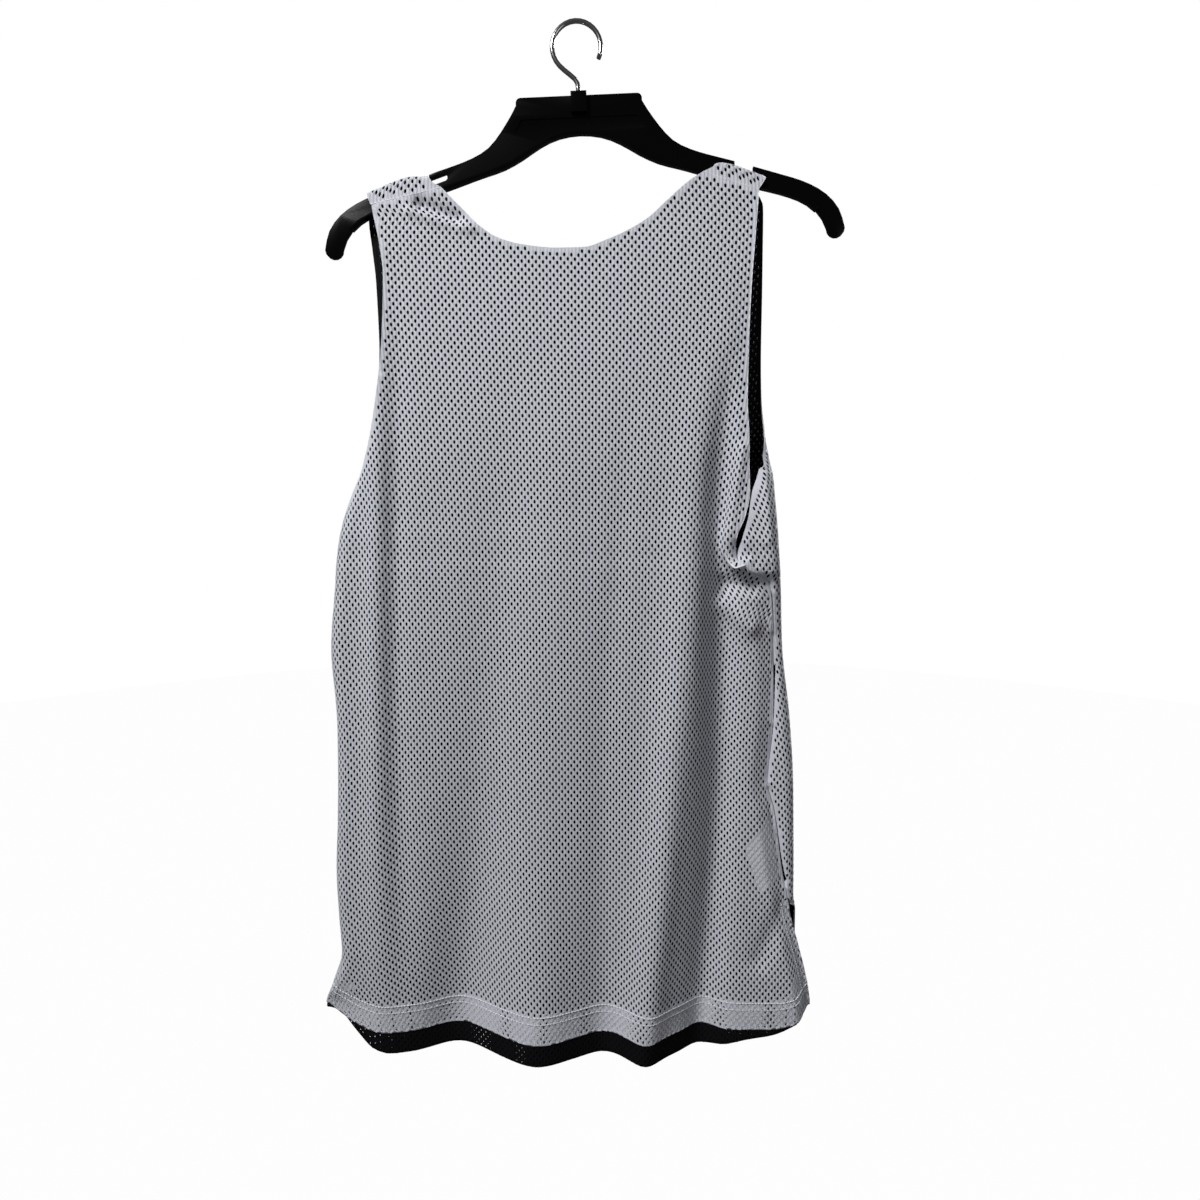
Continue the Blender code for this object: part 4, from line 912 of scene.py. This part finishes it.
def make_panel(panel, shift, material):
    """One layer of a panel as knit with open holes."""
    flat, quads, closed = lattice(panel, np.array(shift))
    faces = quads.tolist() + closed.tolist()
    if panel.front != (panel.layer == 1):
        faces = [face[::-1] for face in faces]
    mesh = bpy.data.meshes.new(panel.name)
    mesh.from_pydata(np.pad(flat, ((0, 0), (0, 1))).tolist(), [], faces)
    bm = bmesh.new()
    bm.from_mesh(mesh)
    for level in panel.fold_lines():
        cut_along(bm, level)
    if panel.front:
        refine(bm, panel.over_hanger)
    flat = flat_points(bm)
    grain = grain_of(flat, panel.skew)
    dip = dimple(grain, shift) * (1.0 if panel.layer == 1 else -1.0)
    for vert, point in zip(bm.verts, (panel.settle(flat, dip) * MM).tolist()):
        vert.co = point
    layer = bm.loops.layers.uv.new("cloth")
    bm.verts.index_update()
    places = (grain * MM).tolist()
    for face in bm.faces:
        face.smooth = True
        for loop in face.loops:
            loop[layer].uv = places[loop.vert.index]
    bmesh.ops.remove_doubles(bm, verts=bm.verts, dist=0.00004)
    bm.to_mesh(mesh)
    bm.free()
    return link(panel.name, mesh, material)


# ---- rolled edges, seams and stitches ----
def strip_mesh(name, strips, material, closed=False):
    """One mesh of several strips, each a grid of rows of points in millimetres."""
    vertices, faces = [], []
    for grid in strips:
        rows, width = grid.shape[:2]
        first = len(vertices)
        vertices += (grid.reshape(-1, 3) * MM).tolist()
        across = width if closed else width - 1
        for i in range(rows - 1):
            for j in range(across):
                a, b = first + i * width + j, first + i * width + (j + 1) % width
                faces.append([a, b, b + width, a + width])
    mesh = bpy.data.meshes.new(name)
    mesh.from_pydata(vertices, [], faces)
    mesh.shade_smooth()
    return link(name, mesh, material)


def edge_frame(panel, path):
    """Points, outward normals and directions off the cloth along an edge."""
    points = panel.on(path)
    normal = unit(panel.on(path, 0.5) - panel.on(path, -0.5))
    along = unit(np.gradient(points, axis=0))
    return points, normal, unit(np.cross(along, normal))


def around(centre, normal, off, radius, turns):
    """Points round each point of a line, at angles from the normal."""
    return np.stack([centre + radius * (math.cos(a) * normal + math.sin(a) * off)
                     for a in turns], 1)


def rolled_edge(panel, path, angles, off_side):
    """Strip round a cut edge where both layers are joined and turned; angles in degrees."""
    points, normal, off = edge_frame(panel, path)
    turns = np.radians(np.linspace(*angles, 6))
    return around(points - normal * EDGE_RADIUS, normal, off * off_side, EDGE_RADIUS, turns)


def cord_on(panel, path, offset, radius, sides=6):
    """Thin round cord that lies along a path on a panel."""
    points, normal, off = edge_frame(panel, path)
    turns = np.arange(sides) * 2 * math.pi / sides
    return around(points + normal * offset, normal, off, radius, turns)


def stitches(panel, path, pitch, length, radius, offset):
    """Short threads along a path, each a small spindle."""
    lines = edge_frame(panel, path)
    run = run_along(lines[0])
    starts = np.arange(pitch / 2, run[-1] - pitch, pitch)
    rows = []
    for t, size, sink in ((0.0, 0.35, 0.5), (0.25, 1.0, 0.0), (0.75, 1.0, 0.0), (1.0, 0.35, 0.5)):
        at = starts + t * length
        centre, up, side = [np.stack([np.interp(at, run, line[:, k]) for k in range(3)], -1)
                            for line in lines]
        up = unit(up)
        centre = centre + up * (offset - radius * sink)
        turns = np.radians((0.0, 90.0, 180.0, 270.0))
        rows.append(around(centre, up, unit(side), radius * size, turns))
    return list(np.stack(rows, 1))


def armhole_foot():
    """The rolled edge round the foot of the right armhole, as s and drop on the back."""
    x, drop = cut_line(ARMHOLE_FOOT, count=16).T
    return np.stack([back_s(x, drop), drop], -1)


# ---- materials ----
def new_material(name, colour, roughness, **inputs):
    material = bpy.data.materials.new(name)
    material.use_nodes = True
    shader = material.node_tree.nodes["Principled BSDF"]
    shader.inputs["Base Color"].default_value = (*colour, 1.0)
    shader.inputs["Roughness"].default_value = roughness
    for key, value in inputs.items():
        shader.inputs[key.replace("_", " ")].default_value = value
    return material


def add_node(tree, kind, settings=None, **inputs):
    node = tree.nodes.new("ShaderNode" + kind)
    for key, value in (settings or {}).items():
        setattr(node, key, value)
    for key, value in inputs.items():
        node.inputs[key.replace("_", " ")].default_value = value
    return node


def maths(tree, operation, *values):
    """Output of a math node; values are numbers or sockets."""
    node = add_node(tree, "Math", {"operation": operation})
    for socket, value in zip(node.inputs, values):
        if isinstance(value, float):
            socket.default_value = value
        else:
            tree.links.new(value, socket)
    return node.outputs[0]


def knit_material(name, colour, roughness, sheen, gloss, depth):
    """Knit whose strands run between the columns of holes, with fine loops on them."""
    material = new_material(name, colour, roughness, Sheen_Weight=sheen,
                            Sheen_Roughness=0.45, Specular_IOR_Level=gloss)
    tree = material.node_tree
    place = add_node(tree, "UVMap", {"uv_map": "cloth"})
    parts = add_node(tree, "SeparateXYZ")
    tree.links.new(place.outputs[0], parts.inputs[0])

    def wave(kind, axis, length):
        turn = maths(tree, "MULTIPLY", parts.outputs[axis], 2 * math.pi / (length * MM))
        return maths(tree, kind, turn)

    strands = maths(tree, "MULTIPLY", wave("COSINE", 0, HOLE_ACROSS / 2), -0.5)
    loops = maths(tree, "MULTIPLY", wave("SINE", 0, LOOP_WIDTH), wave("SINE", 1, LOOP_HEIGHT))
    height = maths(tree, "ADD", strands, maths(tree, "MULTIPLY", loops, 0.3))
    bump = add_node(tree, "Bump", Strength=1.0, Distance=depth * MM)
    tree.links.new(height, bump.inputs["Height"])
    tree.links.new(bump.outputs["Normal"], tree.nodes["Principled BSDF"].inputs["Normal"])
    return material


# ---- stage, light and camera ----
LAMP_TARGET = (0.0, 0.0, -0.35)  # the lamps point here, in metres


def make_stage():
    """White dome and pale floor, lit by themselves, and seen by the camera only."""
    ball = bmesh.new()
    bmesh.ops.create_uvsphere(ball, u_segments=48, v_segments=24, radius=3.6)
    disc = bmesh.new()
    bmesh.ops.create_circle(disc, cap_ends=True, segments=64, radius=3.4)
    for name, shape, height, level in (("backdrop", ball, -0.45, 1.0),
                                       ("floor", disc, -1.15, 0.985)):
        mesh = bpy.data.meshes.new(name)
        shape.to_mesh(mesh)
        shape.free()
        material = new_material(name, (0.0, 0.0, 0.0), 1.0, Specular_IOR_Level=0.0,
                                Emission_Color=(level, level, level, 1.0),
                                Emission_Strength=1.0)
        obj = link(name, mesh, material)
        obj.location.z = height
        for ray in ("diffuse", "glossy", "transmission", "shadow"):
            setattr(obj, "visible_" + ray, False)


def make_lamp(name, place, size, power, colour):
    lamp = bpy.data.lights.new(name, "AREA")
    lamp.shape = "DISK"
    lamp.size = size
    lamp.energy = power
    lamp.color = colour
    obj = bpy.data.objects.new(name, lamp)
    obj.location = place
    obj.rotation_euler = (Vector(LAMP_TARGET) - Vector(place)).to_track_quat("-Z", "Y").to_euler()
    bpy.context.scene.collection.objects.link(obj)


def make_light():
    world = bpy.data.worlds.new("studio")
    world.use_nodes = True
    background = world.node_tree.nodes["Background"]
    background.inputs["Color"].default_value = (0.96, 0.97, 1.0, 1.0)
    background.inputs["Strength"].default_value = 0.06
    bpy.context.scene.world = world
    make_lamp("key", (-1.25, -1.3, 1.25), size=0.7, power=62.0, colour=(0.98, 0.985, 1.0))
    make_lamp("fill", (1.3, -1.3, -0.2), size=1.2, power=3.0, colour=(0.98, 0.98, 1.0))
    make_lamp("rear", (1.3, 1.2, 0.7), size=0.8, power=30.0, colour=(0.97, 0.98, 1.0))


def make_camera():
    camera = bpy.data.cameras.new("camera")
    camera.lens = 22.2
    camera.sensor_width = 36.0
    camera.clip_start = 0.01
    obj = bpy.data.objects.new("camera", camera)
    obj.location = (0.020, -0.650, -0.405)
    obj.rotation_euler = (math.radians(84.0), 0.0, 0.0)
    bpy.context.scene.collection.objects.link(obj)
    bpy.context.scene.camera = obj


# ---- assembly ----
def dress_panel(panel, shift, material, trims):
    """The knit of a panel, attached with its trims, in place of the part's node."""
    obj = make_panel(panel, shift, material)
    for piece in [obj] + trims:
        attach(piece, "root")
    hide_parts(panel.node)


def make_trims(panel, material, seam_thread_and_shade):
    """Rolled edges, seam ridges and stitches of one panel; the white back's side seam ridges are
    grey, painted shade of the groove along the seam.
    """
    edges = panel.edges
    white = panel.layer == 0
    # the black half of a rolled edge goes on round the edge of the white shell
    base = panel if white else Panel(panel.name, panel.node, 0, panel.hem, panel.front)
    angles = (0.0, 115.0) if white else (115.0, 180.0)
    hand = -1.0 if panel.front else 1.0
    strips = [rolled_edge(base, edges[name], angles, side * hand)
              for name, side in (("neck", 1.0), ("left_arm", -1.0), ("right_arm", 1.0))]
    made = [strip_mesh(panel.name + "_edges", strips, material)]
    if not panel.front:
        # side seam cords take the seam material: on the white back a grey that is painted shade of
        # the seam's groove, on the black back the black thread
        for place, cord_colour in (("shoulder", material), ("seam", seam_thread_and_shade)):
            cords = [cord_on(panel, edges[side + place], *SEAM_CORD) for side in ("left_", "right_")]
            if white and place == "shoulder":
                cords.append(cord_on(panel, armhole_foot(), *FOOT_CORD))
            made.append(strip_mesh(panel.name + "_" + place + "s", cords, cord_colour, closed=True))
    threads = []
    for height, radius in HEM_STITCHES:
        line = edges["hem"] - np.array([0.0, height])
        threads += stitches(panel, line, pitch=2.9, length=2.7, radius=radius, offset=0.3)
    for name, side in (("left_vent", 1.0), ("right_vent", -1.0)):
        line = edges[name]
        line = line[line[:, 1] < panel.foot(line[:, 0]) - VENT_INSET]
        line = line + np.array([side * (VENT_TURN - VENT_INSET), 0.0])
        threads += stitches(panel, line, pitch=3.0, length=2.6, radius=0.38, offset=0.2)
    made.append(strip_mesh(panel.name + "_stitches", threads, material, closed=True))
    return made


def make_label(panel, material):
    """Care label between the layers of the back, sewn into the side seam."""
    a = np.linspace(0.0, 1.0, LABEL_GRID[0])[:, None, None]
    b = np.linspace(0.0, 1.0, LABEL_GRID[1])[:, None]
    upper_left, upper_right, lower_right, lower_left = np.array(LABEL_CORNERS, float)
    left = upper_left * (1 - a) + lower_left * a
    right = upper_right * (1 - a) + lower_right * a
    x, drop = (left * (1 - b) + right * b).reshape(-1, 2).T
    points = panel.place(back_s(x, drop), drop, LABEL_OFFSET)
    return strip_mesh("label", [points.reshape(*LABEL_GRID, 3)], material)


def finer_solid(node, name, material, bevel):
    """Copy of a hard part with its sharp edges rounded off."""
    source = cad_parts[node]
    bm = bmesh.new()
    bm.from_mesh(source.data)
    bm.transform(source.matrix_world)
    bmesh.ops.remove_doubles(bm, verts=bm.verts, dist=0.00001)
    if bevel:
        sharp = [edge for edge in bm.edges
                 if len(edge.link_faces) == 2 and edge.calc_face_angle() > SHARP_ANGLE]
        bmesh.ops.bevel(bm, geom=sharp, offset=bevel * MM, segments=3, profile=0.5,
                        affect="EDGES", clamp_overlap=True)
    mesh = bpy.data.meshes.new(name)
    bm.to_mesh(mesh)
    bm.free()
    mesh.shade_smooth()
    obj = link(name, mesh, material)
    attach(obj, "root")
    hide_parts(node)


def main():
    bpy.context.scene.view_settings.view_transform = "Standard"
    make_camera()
    make_stage()
    make_light()
    white = knit_material("white_knit", (0.72, 0.725, 0.785), roughness=0.62, sheen=0.25,
                          gloss=0.25, depth=0.3)
    black = knit_material("black_knit", (0.006, 0.006, 0.007), roughness=0.65, sheen=0.0,
                          gloss=0.08, depth=0.2)
    white_trim = new_material("white_thread", (0.86, 0.87, 0.91), 0.6)
    black_trim = new_material("black_thread", (0.008, 0.008, 0.009), 0.6, Specular_IOR_Level=0.1)
    # painted shade: grey for the white side seam cords, standing in for the shadowed groove along
    # the seam
    white_seam_painted_shade = new_material("white_seam_painted_shade", (0.38, 0.39, 0.43), 0.7)
    satin = new_material("label_satin", (0.82, 0.83, 0.86), 0.45)
    plastic = new_material("hanger_black", (0.002, 0.002, 0.0022), 0.16, Specular_IOR_Level=0.12)
    wire = new_material("hook_steel", (0.60, 0.60, 0.61), 0.18, Metallic=1.0)
    # the fourth entry is the side seam material: painted shade grey for the white shell, black
    # thread for the black one
    shells = (((0.0, 0.0), white, white_trim, white_seam_painted_shade, "white_mesh"),
              (BLACK_SHIFT, black, black_trim, black_trim, "black_mesh"))
    for name, layer, hem, front in (("back_white", 0, WHITE_HEM, False),
                                    ("back_black", 1, BACK_BLACK_HEM, False),
                                    ("front_white", 0, WHITE_HEM, True),
                                    ("front_black", 1, FRONT_BLACK_HEM, True)):
        shift, material, trim, seam, slot = shells[layer]
        panel = Panel("cloth_" + name, name, layer, smooth_curve(*zip(*hem)), front)
        dress_panel(panel, shift, material, make_trims(panel, trim, seam))
        if name == "back_white":
            label = make_label(panel, satin)
            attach(label, "root")
            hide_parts("care_label")
    finer_solid("hanger_body", "hanger_shell", plastic, bevel=0.7)
    finer_solid("hanger_hook", "hook_rod", wire, bevel=0.0)


main()
